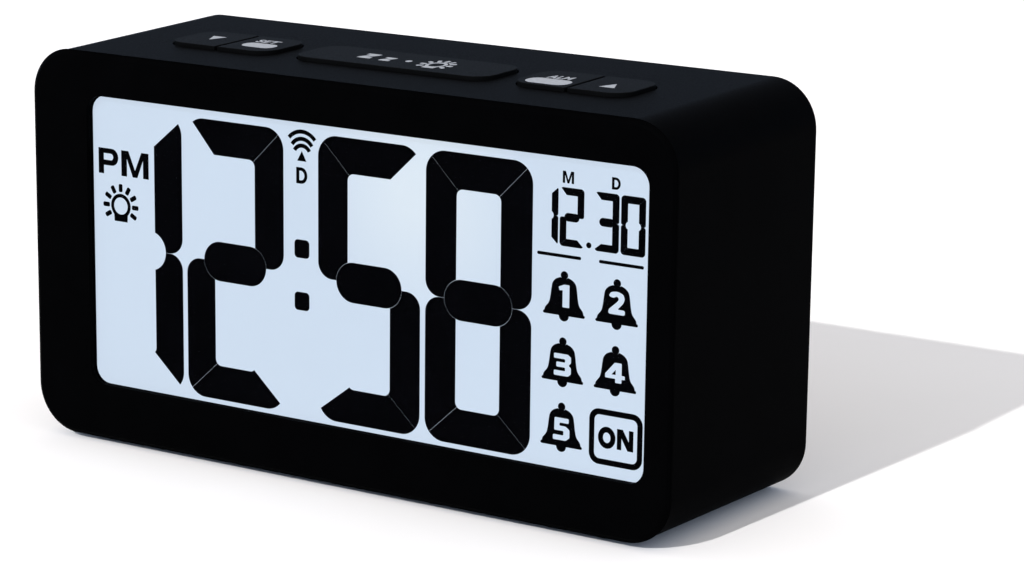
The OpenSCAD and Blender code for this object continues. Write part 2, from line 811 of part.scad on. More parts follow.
module ferrite_rod() color([0.25, 0.25, 0.26])
    translate([rod_x0, aerial_y, aerial_z]) rotate([0, 90, 0]) cylinder(d = rod_d, h = rod_l);

// The coil former with its winding between two flanges
module aerial_coil() color([0.72, 0.42, 0.2])
    translate([coil_x0, aerial_y, aerial_z]) rotate([0, 90, 0])
        difference() {
            union() {
                cylinder(d = winding_d, h = coil_l);
                for (z = [0, coil_l - coil_flange])
                    translate([0, 0, z]) cylinder(d = coil_d, h = coil_flange);
            }
            translate([0, 0, -past]) cylinder(d = rod_d + screw_room, h = coil_l + 2 * past);
        }

// A wire along a smooth curve through the points of a route
module lead(route, d, steps) {
    sides = 8;
    count = len(route);
    function at(i) = route[max(0, min(count - 1, i))];
    // Catmull-Rom curve between points i and i + 1
    function curve(i, t) = 0.5 * (2 * at(i) + (at(i + 1) - at(i - 1)) * t
        + (2 * at(i - 1) - 5 * at(i) + 4 * at(i + 1) - at(i + 2)) * t * t
        + (3 * at(i) - at(i - 1) - 3 * at(i + 1) + at(i + 2)) * t * t * t);
    path = concat([for (i = [0 : count - 2], k = [0 : steps - 1]) curve(i, k / steps)], [at(count - 1)]);
    last = len(path) - 1;
    function run(i) = i == 0 ? at(1) - at(0) : i == last ? at(count - 1) - at(count - 2)
        : path[i + 1] - path[i - 1];
    function ring(i) = let (
        along = run(i) / norm(run(i)),
        side = cross(along, [0, 0, 1]) / norm(cross(along, [0, 0, 1])),
        up = cross(side, along)
    ) [for (k = [0 : sides - 1]) let (a = 360 * k / sides)
        path[i] + d / 2 * (cos(a) * side + sin(a) * up)];
    points = [for (i = [0 : last]) each ring(i)];
    tube = [for (i = [0 : last - 1], k = [0 : sides - 1]) let (
        a = i * sides + k, b = i * sides + (k + 1) % sides
    ) each [[a, b, b + sides], [a, b + sides, a + sides]]];
    first_cap = [for (k = [1 : sides - 2]) [0, k + 1, k]];
    end = last * sides;
    last_cap = [for (k = [1 : sides - 2]) [end, end + k, end + k + 1]];
    polyhedron(points, concat(tube, first_cap, last_cap));
}

module aerial_leads() color([0.72, 0.42, 0.2])
    for (route = aerial_routes) lead(route, wire_d, 3);

module buzzer_leads() color([0.15, 0.15, 0.17])
    for (route = buzzer_routes) lead(route, lead_d, 3);

module battery_lead_red() color([0.75, 0.08, 0.06]) lead(red_route, lead_d, 3);

module battery_lead_black() color([0.08, 0.08, 0.08]) lead(black_route, lead_d, 3);

module buzzer() color([0.08, 0.08, 0.08])
    difference() {
        rod_y(buzzer_x, buzzer_z, cover_y0 - seat_gap - buzzer_h, cover_y0 - seat_gap, buzzer_d);
        rod_y(buzzer_x, buzzer_z, cover_y0 - seat_gap - buzzer_h / 3, cover_y0 + past, buzzer_d / 6);
    }

module rear_cover() color([0.05, 0.05, 0.06])
    difference() {
        union() {
            body_slice(cover_y0, cover_y1, wall + seat_gap, wall + seat_gap);
            bay_walls();
            aerial_ribs();
            rod_y(buzzer_x, buzzer_z, cover_y0 - buzzer_h * 0.8, cover_mid,
                  buzzer_d + 2 * slip + 2 * socket_t);
        }
        // Bay, door opening and thumb notch
        upright(bay_x0, bay_x1, bay_z0, bay_z1, bay_y0, cover_y1 + past);
        door_form(door_gap, cover_y0, cover_y1 + past);
        translate([-bay_left, cover_y1 + thumb_r - wall * 0.6, door_top])
            sphere(thumb_r);
        // Room for the door's tabs behind the cover's skin
        for (x = tab_x)
            upright(x - tab_w / 2 - door_gap, x + tab_w / 2 + door_gap, hinge_z - tab_l - 2 * door_gap,
                    bay_z0 + past, cover_y0 - collar_d - past, cover_y1 - skin_t);
        // Holes for the battery leads in the ends of the bay
        translate([bay_x0 - bay_t - past, cell_y, cell_z(0)]) rotate([0, 90, 0])
            cylinder(d = lead_d + 2 * slip, h = bay_t + 2 * past);
        translate([bay_x1 - past, cell_y, cell_z(cells - 1)]) rotate([0, 90, 0])
            cylinder(d = lead_d + 2 * slip, h = bay_t + 2 * past);
        // Buzzer socket and sound slots
        rod_y(buzzer_x, buzzer_z, cover_y0 - buzzer_h - past, cover_y0, buzzer_d + 2 * slip);
        sound_slots();
        // Cover screws
        for (s = [-1, 1], z = post_z) {
            rod_y(s * post_x, z, cover_y0 - past, cover_y1 + past, cover_screw_d + 4 * screw_room);
            rod_y(s * post_x, z, cover_y1 - counterbore, cover_y1 + past, cover_head_d + 8 * screw_room);
        }
    }

// The walls and floor of the battery bay, with the collar that carries the door
module bay_walls() {
    upright(bay_x0 - bay_t, bay_x1 + bay_t, bay_z0 - bay_t, bay_z1 + bay_t, bay_y0 - bay_t, cover_mid);
    upright(bay_x0 - collar, bay_x1 + collar, bay_z0 - collar, bay_z1 + collar,
            cover_y0 - collar_d, cover_mid, door_r + collar - door_ledge);
}

// Two ribs on the rear cover with open slots that the ferrite rod snaps into
module aerial_ribs() {
    seat_d = rod_d + 2 * screw_room;
    for (x = rib_x)
        difference() {
            translate([x - rib_t / 2, aerial_y - rod_d / 4, aerial_z - rod_d / 2 - rib_edge])
                cube([rib_t, cover_mid - aerial_y + rod_d / 4, rod_d + 2 * rib_edge]);
            translate([x - rib_t, aerial_y, aerial_z]) rotate([0, 90, 0])
                cylinder(d = seat_d, h = 2 * rib_t);
        }
}

module sound_slots() {
    step = 2 * slot_w;
    for (i = [0 : slots - 1]) {
        off = (i - (slots - 1) / 2) * step;
        half = sqrt(pow(buzzer_d * 0.36, 2) - off * off);
        upright(buzzer_x - half, buzzer_x + half, buzzer_z + off - slot_w / 2,
                buzzer_z + off + slot_w / 2, cover_y0 - past, cover_y1 + past, slot_w * 0.49);
    }
}

module battery_door() color([0.05, 0.05, 0.06])
    difference() {
        union() {
            door_plate();
            for (x = tab_x)
                upright(x - tab_w / 2, x + tab_w / 2, hinge_z - tab_l, hinge_z,
                        door_y, cover_y1 - skin_t - seat_gap);
        }
        // Slits that free the latch tongue, and its grip lines
        for (s = [-1, 1]) {
            x = -bay_left + s * latch_w / 2;
            upright(x - latch_slit / 2, x + latch_slit / 2, door_top - latch_l, door_top + past,
                    door_y - past, cover_y1 + past);
        }
        for (i = [1 : latch_lines]) {
            z = door_top - 2 * i * line_w;
            upright(-bay_left - latch_w / 3, -bay_left + latch_w / 3, z, z + line_w,
                    cover_y1 - line_deep, cover_y1 + past);
        }
    }

// The door's plate, rounded along the bottom edge that it swings on
module door_plate() {
    x0 = bay_x0 - door_ledge;
    x1 = bay_x1 + door_ledge;
    intersection() {
        door_form(0, door_y, cover_y1);
        union() {
            upright(x0, x1, hinge_z, door_top + past, door_y, cover_y1);
            translate([x0, hinge_y, hinge_z]) rotate([0, 90, 0]) cylinder(d = door_t, h = x1 - x0);
        }
    }
}

// The form of the door and of its opening, with round top corners and square bottom corners
module door_form(grow, y0, y1) {
    x0 = bay_x0 - door_ledge - grow;
    x1 = bay_x1 + door_ledge + grow;
    z0 = bay_z0 - door_ledge - grow;
    upright(x0, x1, z0, door_top + grow, y0, y1, door_r + grow);
    upright(x0, x1, z0, bay_z, y0, y1);
}

// The cells lie one above another and point in turn to the left and to the right
module aa_cells() color([0.75, 0.7, 0.3])
    for (i = [0 : cells - 1]) {
        flip = i % 2 == 0 ? 1 : -1;
        translate([-bay_left, cell_y, cell_z(i)]) rotate([0, 90 * flip, 0])
            translate([0, 0, cell_start()]) {
                cylinder(d = cell_d, h = cell_l - nub_l);
                cylinder(d = nub_d, h = cell_l);
            }
    }

function cell_z(i) = bay_z0 + (i + 0.5) * pitch;
// A cell's flat end starts a spring and a plate away from the end of the bay
function cell_start() = -bay_l / 2 + contact_t + spring_l + seat_gap;

// Spring plates at the flat ends of the cells
module spring_contacts() color([0.8, 0.8, 0.82])
    for (i = [0 : cells - 1]) {
        flip = i % 2 == 0 ? 1 : -1;
        translate([-bay_left, cell_y, cell_z(i)]) rotate([0, 90 * flip, 0])
            translate([0, 0, -bay_l / 2]) {
                translate([0, 0, contact_t / 2]) cube([contact_w, contact_w, contact_t], center = true);
                translate([0, 0, contact_t]) cone_spring(spring_d, spring_top_d, spring_l - face_gap);
            }
    }

// A conical spring along +Z: rings of wire points on a tapering helix, joined into one tube
module cone_spring(d0, d1, l) {
    sides = 6;
    steps = 16;
    rings = steps * spring_turns;
    wire_r = spring_wire / 2;
    function ring(i) = let (
        t = i / rings,
        a = 360 * i / steps,
        r = (d0 + (d1 - d0) * t - spring_wire) / 2,
        z = wire_r * 0.5 + (l - wire_r * 1.5) * t
    ) [for (k = [0 : sides - 1]) let (b = 360 * k / sides)
        [(r + wire_r * cos(b)) * cos(a), (r + wire_r * cos(b)) * sin(a), z + wire_r * sin(b)]];
    points = [for (i = [0 : rings]) each ring(i)];
    tube = [for (i = [0 : rings - 1], k = [0 : sides - 1]) let (
        a = i * sides + k, b = i * sides + (k + 1) % sides, c = b + sides, d = a + sides
    ) each [[a, b, c], [a, c, d]]];
    first_cap = [for (k = [1 : sides - 2]) [0, k + 1, k]];
    last = rings * sides;
    last_cap = [for (k = [1 : sides - 2]) [last, last + k, last + k + 1]];
    polyhedron(points, concat(tube, first_cap, last_cap));
}

// Plain plates at the nub ends of the cells, each linked to the next cell's spring plate
module flat_contacts() color([0.8, 0.8, 0.82])
    for (i = [0 : cells - 1]) {
        x = i % 2 == 0 ? bay_x1 - contact_t : bay_x0;
        z = cell_z(i);
        link = i < cells - 1 ? pitch - contact_w : 0;
        translate([x, cell_y - contact_w / 2, z - contact_w / 2]) cube([contact_t, contact_w, contact_w]);
        translate([x, cell_y - contact_w / 4, z]) cube([contact_t, contact_w / 2, contact_w / 2 + link]);
    }

module frame_screws() color("silver")
    for (z = boss_z)
        rear_screw(boss_x, y_pillar, z, small_screw_d, frame_t + boss_drill, small_head_d, small_head_h);

module board_screws() color("silver")
    for (p = pillar_at)
        rear_screw(p[0], y_board_rear, p[1], small_screw_d,
                   board_t + pillar_h + frame_t - pass_gap - face_gap, small_head_d, small_head_h);

module key_board_screws() color("silver")
    for (p = key_boss)
        translate([p[0], p[1], key_board_z]) mirror([0, 0, 1])
            screw(small_screw_d, board_t + boss_drill - pass_gap, small_head_d, small_head_h);

module cover_screws() color("silver")
    for (s = [-1, 1], z = post_z)
        rear_screw(s * post_x, cover_y1 - counterbore, z, cover_screw_d,
                   wall - counterbore + post_drill - pass_gap, cover_head_d, cover_head_h);

module rubber_feet() color([0.12, 0.12, 0.12])
    for (p = foot_at())
        translate([p[0], p[1], 0]) cylinder(d = foot_d, h = foot_top(p[1]));

case_shell();
front_lens();
polarisers();
lcd_panel();
light_guide();
reflector_sheet();
backlight_leds();
lcd_frame();
zebra_strip();
main_board();
controller_blob();
crystal_cans();
capacitors();
connectors();
receiver_module();
key_board();
key_mat();
key_ribbon();
key_down();
key_set();
key_snooze();
key_alarm();
key_up();
ferrite_rod();
aerial_coil();
aerial_leads();
buzzer();
buzzer_leads();
rear_cover();
battery_door();
aa_cells();
spring_contacts();
flat_contacts();
battery_lead_red();
battery_lead_black();
frame_screws();
board_screws();
key_board_screws();
cover_screws();
rubber_feet();
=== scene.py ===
"""Radio-controlled alarm clock: the finish of its solids, its lit display and its printed keys."""

import json
import math
from collections import namedtuple

import bmesh
import bpy
from mathutils import Matrix, Vector
from mathutils.bvhtree import BVHTree


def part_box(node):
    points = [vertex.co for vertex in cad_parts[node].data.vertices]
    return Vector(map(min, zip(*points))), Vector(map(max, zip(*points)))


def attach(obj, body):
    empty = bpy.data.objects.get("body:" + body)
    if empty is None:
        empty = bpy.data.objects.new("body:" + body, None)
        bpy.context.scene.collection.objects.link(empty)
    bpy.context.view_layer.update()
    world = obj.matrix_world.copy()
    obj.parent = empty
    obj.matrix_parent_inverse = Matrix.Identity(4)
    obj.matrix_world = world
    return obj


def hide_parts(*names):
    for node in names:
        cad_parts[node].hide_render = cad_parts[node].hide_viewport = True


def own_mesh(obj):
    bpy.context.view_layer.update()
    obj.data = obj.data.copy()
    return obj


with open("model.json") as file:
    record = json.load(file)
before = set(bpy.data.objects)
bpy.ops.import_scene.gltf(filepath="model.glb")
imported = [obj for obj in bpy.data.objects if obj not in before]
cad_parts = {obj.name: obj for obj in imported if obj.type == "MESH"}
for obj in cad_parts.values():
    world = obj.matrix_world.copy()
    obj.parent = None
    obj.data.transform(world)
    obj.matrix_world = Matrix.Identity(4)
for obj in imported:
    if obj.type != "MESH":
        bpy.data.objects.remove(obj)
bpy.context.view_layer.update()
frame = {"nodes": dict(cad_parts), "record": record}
nodes = frame["nodes"]
slot_of = {part["node"]: part["material_slot"] for part in frame["record"]["subparts"]}
behaviour = frame["record"]["behaviour"]
body_of = {node: body for body, names in behaviour["bodies"].items() for node in names}

# Sizes are in millimetres, and MM turns them into metres
MM = 0.001
# Places closer than this count as the same
NEAR = 0.01

# Camera, fitted to the outline of the case
IMAGE_WIDTH = 1024
FOCAL_PIXELS = 3290
SENSOR = 36
AZIMUTH = math.radians(32.52)
ELEVATION = math.radians(13.10)
ROLL = math.radians(0.69)
CAMERA_AT = Vector((360.3, -527.6, 185.144)) * MM

# Light
SUN_ALONG = Vector((10, 125, -80))
SUN_ANGLE = math.radians(0.8)
SUN_STRENGTH = 3.1
HORIZON_LIGHT = (0.80, 1.09, 1.58)
ZENITH_LIGHT = (0.87, 0.75, 0.57)
FLOOR_HALF = 4.0
FLOOR_COLOUR = (0.88, 0.855, 0.84)

# Edges: which are sharp, which faces count as flat, and the rounding of each moulded node
EDGE_ANGLE = math.radians(28)
FLAT_ANGLE = math.radians(0.4)
EDGE_STEPS = 3
WELD = 0.002
MOULDED = {
    "case_shell": 0.22,
    "rear_cover": 0.15,
    "battery_door": 0.15,
    "front_lens": 0.12,
    "rubber_feet": 0.3,
}
KEY_EDGE = 0.25
# The pieces that take the lighter rear black, whose lightness is painted light
REAR = ("rear_cover", "battery_door")

# Display: the window's rim, the print's gap from the film, its thickness, and the lift of bell numbers
LENS_RIM = 1.4
PRINT_BACK = 0.01
PRINT_THICK = 0.05
NUMERAL_FRONT = 0.02
# The dark border: its reach beyond the window, and the left side, foot, head and corners of its opening
MASK_BEYOND = 1.2
MASK_LEFT = -0.25
MASK_LOW = -0.2
MASK_TOP = 59.3
MASK_R = 3.4
# The bright spot of the lit film: its place as shares of the film, and its radius
SPOT_ALONG = 0.61
SPOT_UP = 0.8
SPOT_R = 26

# Key prints: the arrow's corners, half the width and height of the others, and their places on the keys
KEY_PRINT_THICK = 0.04
PRINT_WEIGHT = 0.02
ARROW = ((-1.65, -1.6), (1.65, -1.6), (0, 2.1))
DOWN_AT = (-47.4, -1.4)
UP_AT = (47.5, -3.2)
SET_PILL = (3.8, 2.1, 1.8)
SET_PILL_AT = (-34.5, -3.7)
SET_HALF = (2.6, 1.3)
SET_AT = (-35.4, 0.6)
ALARM_PILL = (4.7, 2.5, 2.2)
ALARM_PILL_AT = (35.1, -5.5)
ALARM_HALF = (2.6, 1.4)
ALARM_AT = (35.1, -1.0)
SNOOZE_Z = {"large": (1.5, 2.3, (-9.0, -1.6)), "small": (1.2, 1.75, (-3.9, -2.6))}
DOT_HALF = (0.66, 0.8)
DOT_AT = (0.8, -2.2)
LAMP_SHARE = 0.82
LAMP_STRETCH = 1.3
LAMP_AT = (7.6, -2.65)

# Key mat: its sheet and domes, the least space between domes and the joint that presses each
MAT_THICK = 1.0
MAT_CORNER = 1
DOME_R = 4
DOME_TOP_R = 2.52
DOME_SKIN = 1.2
DOME_GAP = 0.01
DOME_APART = 5
DOME_JOINTS = ("down_key_press", "set_key_press", "snooze_key_press", "snooze_key_press",
               "alarm_key_press", "up_key_press")

# Battery cells: the coloured band, the pole at one end and the base plate at the other
CELL_COUNT = 3
BAND_LONG = 15
POLE_LONG = 1.3
POLE_R = 2.66
BASE_R = 4.8
JACKET_CURL = 0.12

# Figures of the display: sizes of a figure's strokes, and the places of the figures
FigureSize = namedtuple("FigureSize", "width height stroke corner notch bar inset gap inner")
BIG = FigureSize(23.85, 56.56, 6.95, 4.3, 3.2, 7.95, 4.3, 0.045, 1.4)
SMALL = FigureSize(5.2, 11.07, 1.42, 0.75, 0.45, 1.6, 1.0, 0.015, 0.1)
# Degrees by which the corner cuts of the strokes lean from the diagonal, at joints and at free ends
LOWER_LEAN = 5
FREE_UPRIGHT_LEAN = 9
FREE_LEFT_LEAN = -7
FREE_RIGHT_LEAN = 3
FREE_FOOT_LEAN = 16
BIG_LOW = 0.73
BIG_FIGURES = ((-1.56, "1"), (23.44, "2"), (55.61, "5"), (80.67, "8"))
SMALL_LOW = 42.41
SMALL_FIGURES = ((104.86, "1"), (110.42, "2"), (117.9, "3"), (123.5, "0"))
# The strokes of each number: a is the top one, b to f follow clockwise, and g is the middle one
STROKES = {"0": "abcdef", "1": "bc", "2": "abdeg", "3": "abcdg", "5": "acdfg", "8": "abcdefg"}

# Signs of the display, in millimetres from the window's lower left corner
COLON_LEFT, COLON_RIGHT = 49.92, 53.45
COLON_LOWS = (21.88, 32.33)
COLON_HIGH = 3.64
COLON_R = 0.8
DATE_LINES = (105.62, 118.99)
DATE_LINE_LONG = 9.5
DATE_LINE_LOW, DATE_LINE_TOP = 40.22, 40.84
DATE_LINE_R = 0.28
DATE_POINT = (116.73, 43.24, 0.55)
LAMP_SIGN = (6.66, 37.18)
LAMP_RAY = (2.85, -0.47, 4.5, 0.47, 0.3)
LAMP_R = 2.5
LAMP_HOLE_R = 1.75
LAMP_BASE = ((-1.65, -3.2), (1.65, -3.2))
RADIO_X = 51.76
RADIO_STROKE = 0.82
# The centre height, radius and half angle of each wave
RADIO_WAVES = ((53.2, 4.5, 49), (53.04, 3.25, 56), (52.51, 2.45, 60))
RADIO_MAST = ((50.63, 51.5), (52.81, 51.5), (51.72, 53.48))
SWITCH_OUTER = (117.5, 2.1, 128.97, 12.77, 2.1)
SWITCH_INNER = (118.62, 3.22, 127.85, 11.65, 1.1)
# Letters of the display, each with its box of x0, y0, x1, y1
DATE_LETTERS = {
    "date_month": ("M", (110.93, 54.27, 113.34, 56.53)),
    "date_day": ("D", (121.43, 54.27, 123.27, 56.55)),
}
HALF_DAY_LETTERS = {
    "half_day_p": ("P", (1.11, 43.41, 6.15, 48.63)),
    "half_day_m": ("M", (6.95, 43.41, 13.9, 48.63)),
}
RADIO_LETTER = {"radio_letter": ("D", (50.38, 47.05, 53.03, 50.26))}
SWITCH_LETTERS = {
    "switch_letter_o": ("O", (119.45, 5.3, 123.2, 9.5)),
    "switch_letter_n": ("N", (123.53, 5.5, 127.03, 9.45)),
}
# Bells of the display: the middle and the rim height of each
BELLS = ((111.6, 29.25), (122.95, 29.25), (111.48, 16.65), (122.86, 16.65), (111.44, 4.14))
# Right half of a bell's side, from its rim up
BELL_HALF = ((4.05, 1.25), (3.3, 2.2), (2.98, 3.4), (2.76, 5.0), (2.5, 6.1), (1.82, 6.85), (0.85, 7.25))
BELL_RIM = 4.25
BELL_LIP = 0.6
KNOB_HIGH = 7.65
KNOB_R = 0.8
CLAPPER_R = 1.08
# Half the width of each bell's number, and its foot and head above the rim
BELL_NUMBERS = ((1.15, 1.6, 5.9), (1.75, 1.8, 6.1), (1.85, 1.1, 5.3), (2.1, 1.5, 5.3), (1.8, 1.2, 5.5))


# Materials
# The range that most values of a noise texture lie in, and how much gloss varies
NOISE_LOW, NOISE_HIGH = 0.3, 0.7
UNEVEN = 0.05
# Tint of the shine, as it is and on black plastic
PLAIN_SHINE = (1.0, 1.0, 1.0, 1.0)
COOL_SHINE = (0.82, 0.9, 1.0, 1.0)


def node_tree(name):
    """A new node material: gives the material, its nodes, its links and its shader."""
    material = bpy.data.materials.new(name)
    material.use_nodes = True
    tree = material.node_tree
    return material, tree.nodes, tree.links, tree.nodes["Principled BSDF"]


def noise(made, links, coords, size, detail=3.0):
    """A noise texture whose grain has that size in millimetres."""
    texture = made.new("ShaderNodeTexNoise")
    texture.inputs["Scale"].default_value = 1 / (size * MM)
    texture.inputs["Detail"].default_value = detail
    links.new(coords, texture.inputs["Vector"])
    return texture.outputs["Fac"]


def ramp(made, links, value, low, high, start=NOISE_LOW, end=NOISE_HIGH):
    """Colours between low and high, by a value from start to end."""
    colours = made.new("ShaderNodeValToRGB")
    colours.color_ramp.elements[0].position = start
    colours.color_ramp.elements[0].color = (*low, 1)
    colours.color_ramp.elements[1].position = end
    colours.color_ramp.elements[1].color = (*high, 1)
    links.new(value, colours.inputs["Fac"])
    return colours.outputs["Color"]


def spread(made, links, value, low, high):
    """A noise value mapped to numbers between low and high."""
    mapped = made.new("ShaderNodeMapRange")
    mapped.inputs["From Min"].default_value = NOISE_LOW
    mapped.inputs["From Max"].default_value = NOISE_HIGH
    mapped.inputs["To Min"].default_value = low
    mapped.inputs["To Max"].default_value = high
    links.new(value, mapped.inputs["Value"])
    return mapped.outputs["Result"]


def bump(made, links, shader, height, depth, strength):
    """Relief on a shader from a height value, depth in millimetres."""
    relief = made.new("ShaderNodeBump")
    relief.inputs["Distance"].default_value = depth * MM
    relief.inputs["Strength"].default_value = strength
    links.new(height, relief.inputs["Height"])
    links.new(relief.outputs["Normal"], shader.inputs["Normal"])


def surface(name, colour, rough, metal=0.0, specular=0.5, grain=0.3, depth=0.02, strength=0.25,
            mottle=0.15, mottle_size=9.0, shine=PLAIN_SHINE):
    """A solid material: mottled colour, uneven gloss and a fine grain."""
    material, made, links, shader = node_tree(name)
    coords = made.new("ShaderNodeTexCoord").outputs["Object"]
    cloud = noise(made, links, coords, mottle_size)
    fine = noise(made, links, coords, grain, 4.0)
    low = [c * (1 - mottle) for c in colour]
    high = [min(1, c * (1 + mottle)) for c in colour]
    links.new(ramp(made, links, cloud, low, high), shader.inputs["Base Color"])
    links.new(spread(made, links, fine, rough - UNEVEN, rough + UNEVEN), shader.inputs["Roughness"])
    bump(made, links, shader, fine, depth, strength)
    shader.inputs["Metallic"].default_value = metal
    shader.inputs["Specular IOR Level"].default_value = specular
    shader.inputs["Specular Tint"].default_value = shine
    return material


def lens_material():
    """Clear acrylic with an anti-glare face: a faint haze that lets the display show through."""
    material, made, links, shader = node_tree("clear_lens")
    coords = made.new("ShaderNodeTexCoord").outputs["Object"]
    haze = noise(made, links, coords, 30)
    links.new(spread(made, links, haze, 0.03, 0.06), shader.inputs["Roughness"])
    tint = ramp(made, links, haze, (0.004, 0.005, 0.007), (0.007, 0.008, 0.01))
    links.new(tint, shader.inputs["Base Color"])
    shader.inputs["Alpha"].default_value = 0.02
    shader.inputs["Specular IOR Level"].default_value = 0.0
    return material


def lit_material():
    """The lit face of the display: bluish white, with a soft bright spot right of its middle."""
    material, made, links, shader = node_tree("lit_film")
    coords = made.new("ShaderNodeTexCoord").outputs["Object"]
    low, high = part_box("polarisers")
    about_spot = made.new("ShaderNodeMapping")
    about_spot.vector_type = "TEXTURE"
    about_spot.inputs["Location"].default_value = (
        low.x + SPOT_ALONG * (high.x - low.x), low.y, low.z + SPOT_UP * (high.z - low.z))
    about_spot.inputs["Scale"].default_value = [SPOT_R * MM] * 3
    links.new(coords, about_spot.inputs["Vector"])
    spot = made.new("ShaderNodeTexGradient")
    spot.gradient_type = "SPHERICAL"
    links.new(about_spot.outputs["Vector"], spot.inputs["Vector"])
    glow = ramp(made, links, spot.outputs["Fac"], (0.62, 0.72, 0.85), (0.735, 0.816, 0.893), 0.0, 0.85)
    links.new(glow, shader.inputs["Emission Color"])
    shader.inputs["Emission Strength"].default_value = 0.95
    cloud = noise(made, links, coords, 40)
    film = ramp(made, links, cloud, (0.026, 0.035, 0.044), (0.034, 0.045, 0.056))
    links.new(film, shader.inputs["Base Color"])
    links.new(spread(made, links, cloud, 0.55, 0.65), shader.inputs["Roughness"])
    shader.inputs["Specular IOR Level"].default_value = 0.1
    return material


def wound_material():
    """Copper wire wound round the rod, a turn every third of a millimetre, with painted shade between
    the turns.
    """
    material, made, links, shader = node_tree("copper")
    coords = made.new("ShaderNodeTexCoord").outputs["Object"]
    turns = made.new("ShaderNodeTexWave")
    turns.inputs["Scale"].default_value = 1 / MM
    turns.inputs["Distortion"].default_value = 0.4
    links.new(coords, turns.inputs["Vector"])
    # Dark copper in the grooves between turns and bright copper on their crowns: painted shade and
    # painted highlight, over the bump of the same waves
    copper = ramp(made, links, turns.outputs["Fac"], (0.30, 0.10, 0.04), (0.72, 0.34, 0.16), 0.0, 1.0)
    links.new(copper, shader.inputs["Base Color"])
    bump(made, links, shader, turns.outputs["Fac"], 0.1, 0.6)
    shader.inputs["Metallic"].default_value = 0.9
    shader.inputs["Roughness"].default_value = 0.35
    return material


finishes = {
    "case_black": surface("case_black", (0.0006, 0.0006, 0.0007), 0.5, specular=0.0026, grain=0.35,
                          shine=COOL_SHINE),
    "clear_lens": lens_material(),
    "polariser_film": lit_material(),
    "display_glass": surface("display_glass", (0.45, 0.52, 0.55), 0.08, grain=4, depth=0.002),
    "clear_guide": surface("clear_guide", (0.85, 0.9, 0.95), 0.1, grain=2, depth=0.002),
    "white_plastic": surface("white_plastic", (0.78, 0.78, 0.75), 0.45, mottle=0.04),
    "led_resin": surface("led_resin", (0.85, 0.8, 0.35), 0.3, mottle=0.1, mottle_size=2),
    "zebra_rubber": surface("zebra_rubber", (0.55, 0.36, 0.42), 0.6, mottle=0.35, mottle_size=0.4),
    "board_green": surface("board_green", (0.025, 0.16, 0.06), 0.35, mottle=0.3, mottle_size=3),
    "board_blue": surface("board_blue", (0.03, 0.09, 0.28), 0.35, mottle=0.3, mottle_size=3),
    "black_resin": surface("black_resin", (0.01, 0.01, 0.011), 0.3, grain=1.2, depth=0.05),
    "nickel": surface("nickel", (0.62, 0.6, 0.55), 0.28, metal=1.0, mottle=0.08, mottle_size=2),
    "capacitor_sleeve": surface("capacitor_sleeve", (0.02, 0.03, 0.10), 0.35, mottle=0.2, mottle_size=2),
    "key_silicone": surface("key_silicone", (0.22, 0.22, 0.23), 0.65, specular=0.3),
    "key_black": surface("key_black", (0.0024, 0.0025, 0.0026), 0.5, specular=0.0038, grain=0.35,
                         shine=COOL_SHINE),
    "ferrite": surface("ferrite", (0.06, 0.06, 0.062), 0.6, grain=0.5, depth=0.04, mottle_size=1.5),
    "copper": wound_material(),
    "wire_black": surface("wire_black", (0.012, 0.012, 0.013), 0.4, mottle_size=4),
    "wire_red": surface("wire_red", (0.42, 0.02, 0.015), 0.4, mottle_size=4),
    "cell_jacket": surface("cell_jacket", (0.62, 0.63, 0.64), 0.3, mottle=0.03, mottle_size=25, grain=6,
                           strength=0.05),
    "screw_steel": surface("screw_steel", (0.20, 0.20, 0.21), 0.35, metal=1.0, mottle=0.12,
                           mottle_size=1.5),
    "foot_rubber": surface("foot_rubber", (0.02, 0.02, 0.021), 0.8, specular=0.25, grain=0.5,
                           depth=0.04),
}
segment_ink = surface("segment_ink", (0.0008, 0.0008, 0.0011), 0.7, specular=0.0, mottle=0.2,
                      mottle_size=12)
# Rear cover and battery door: a matte, grained black whose colour is lighter than the case's as painted
# light, brightening the rear that the sun does not reach
rear_black = surface("rear_black", (0.0075, 0.0077, 0.0085), 0.6, specular=0.2, grain=0.5, depth=0.05)
key_ink = surface("key_ink", (0.28, 0.285, 0.3), 0.55, specular=0.2, grain=0.15, mottle=0.12,
                  mottle_size=0.6)
cell_band = surface("cell_band", (0.02, 0.10, 0.24), 0.3, mottle=0.03, mottle_size=25, grain=6,
                    strength=0.05)


# Pieces
def keep(piece, body, slot, material, *replaced):
    """Puts a finished piece in the scene, on its body; its slot is not used."""
    bpy.context.scene.collection.objects.link(piece)
    if not piece.data.materials:
        piece.data.materials.append(material)
    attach(piece, body)
    if replaced:
        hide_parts(*replaced)
    return piece


def softened(node, edge, material):
    """A node's solid with its flat faces joined and its sharp edges rounded by that many millimetres."""
    source = nodes[node].data
    mesh = bpy.data.meshes.new(node + "_moulded")
    corners = [vertex.co for vertex in source.vertices]
    mesh.from_pydata(corners, [], [polygon.vertices for polygon in source.polygons])
    form = bmesh.new()
    form.from_mesh(mesh)
    bmesh.ops.remove_doubles(form, verts=form.verts, dist=WELD * MM)
    bmesh.ops.dissolve_limit(form, angle_limit=FLAT_ANGLE, verts=form.verts, edges=form.edges)
    bmesh.ops.connect_verts_concave(form, faces=form.faces)
    sharp = [e for e in form.edges if e.is_manifold and e.calc_face_angle() > EDGE_ANGLE]
    bmesh.ops.bevel(form, geom=sharp, offset=edge * MM, segments=EDGE_STEPS, profile=0.5,
                    affect="EDGES", clamp_overlap=False)
    for face in form.faces:
        face.smooth = True
    for e in form.edges:
        e.smooth = not e.is_manifold or e.calc_face_angle() < EDGE_ANGLE
    form.to_mesh(mesh)
    form.free()
    piece = bpy.data.objects.new(node + "_moulded", mesh)
    evened = piece.modifiers.new("even normals", "WEIGHTED_NORMAL")
    evened.keep_sharp = True
    return keep(piece, body_of[node], slot_of[node], material, node)


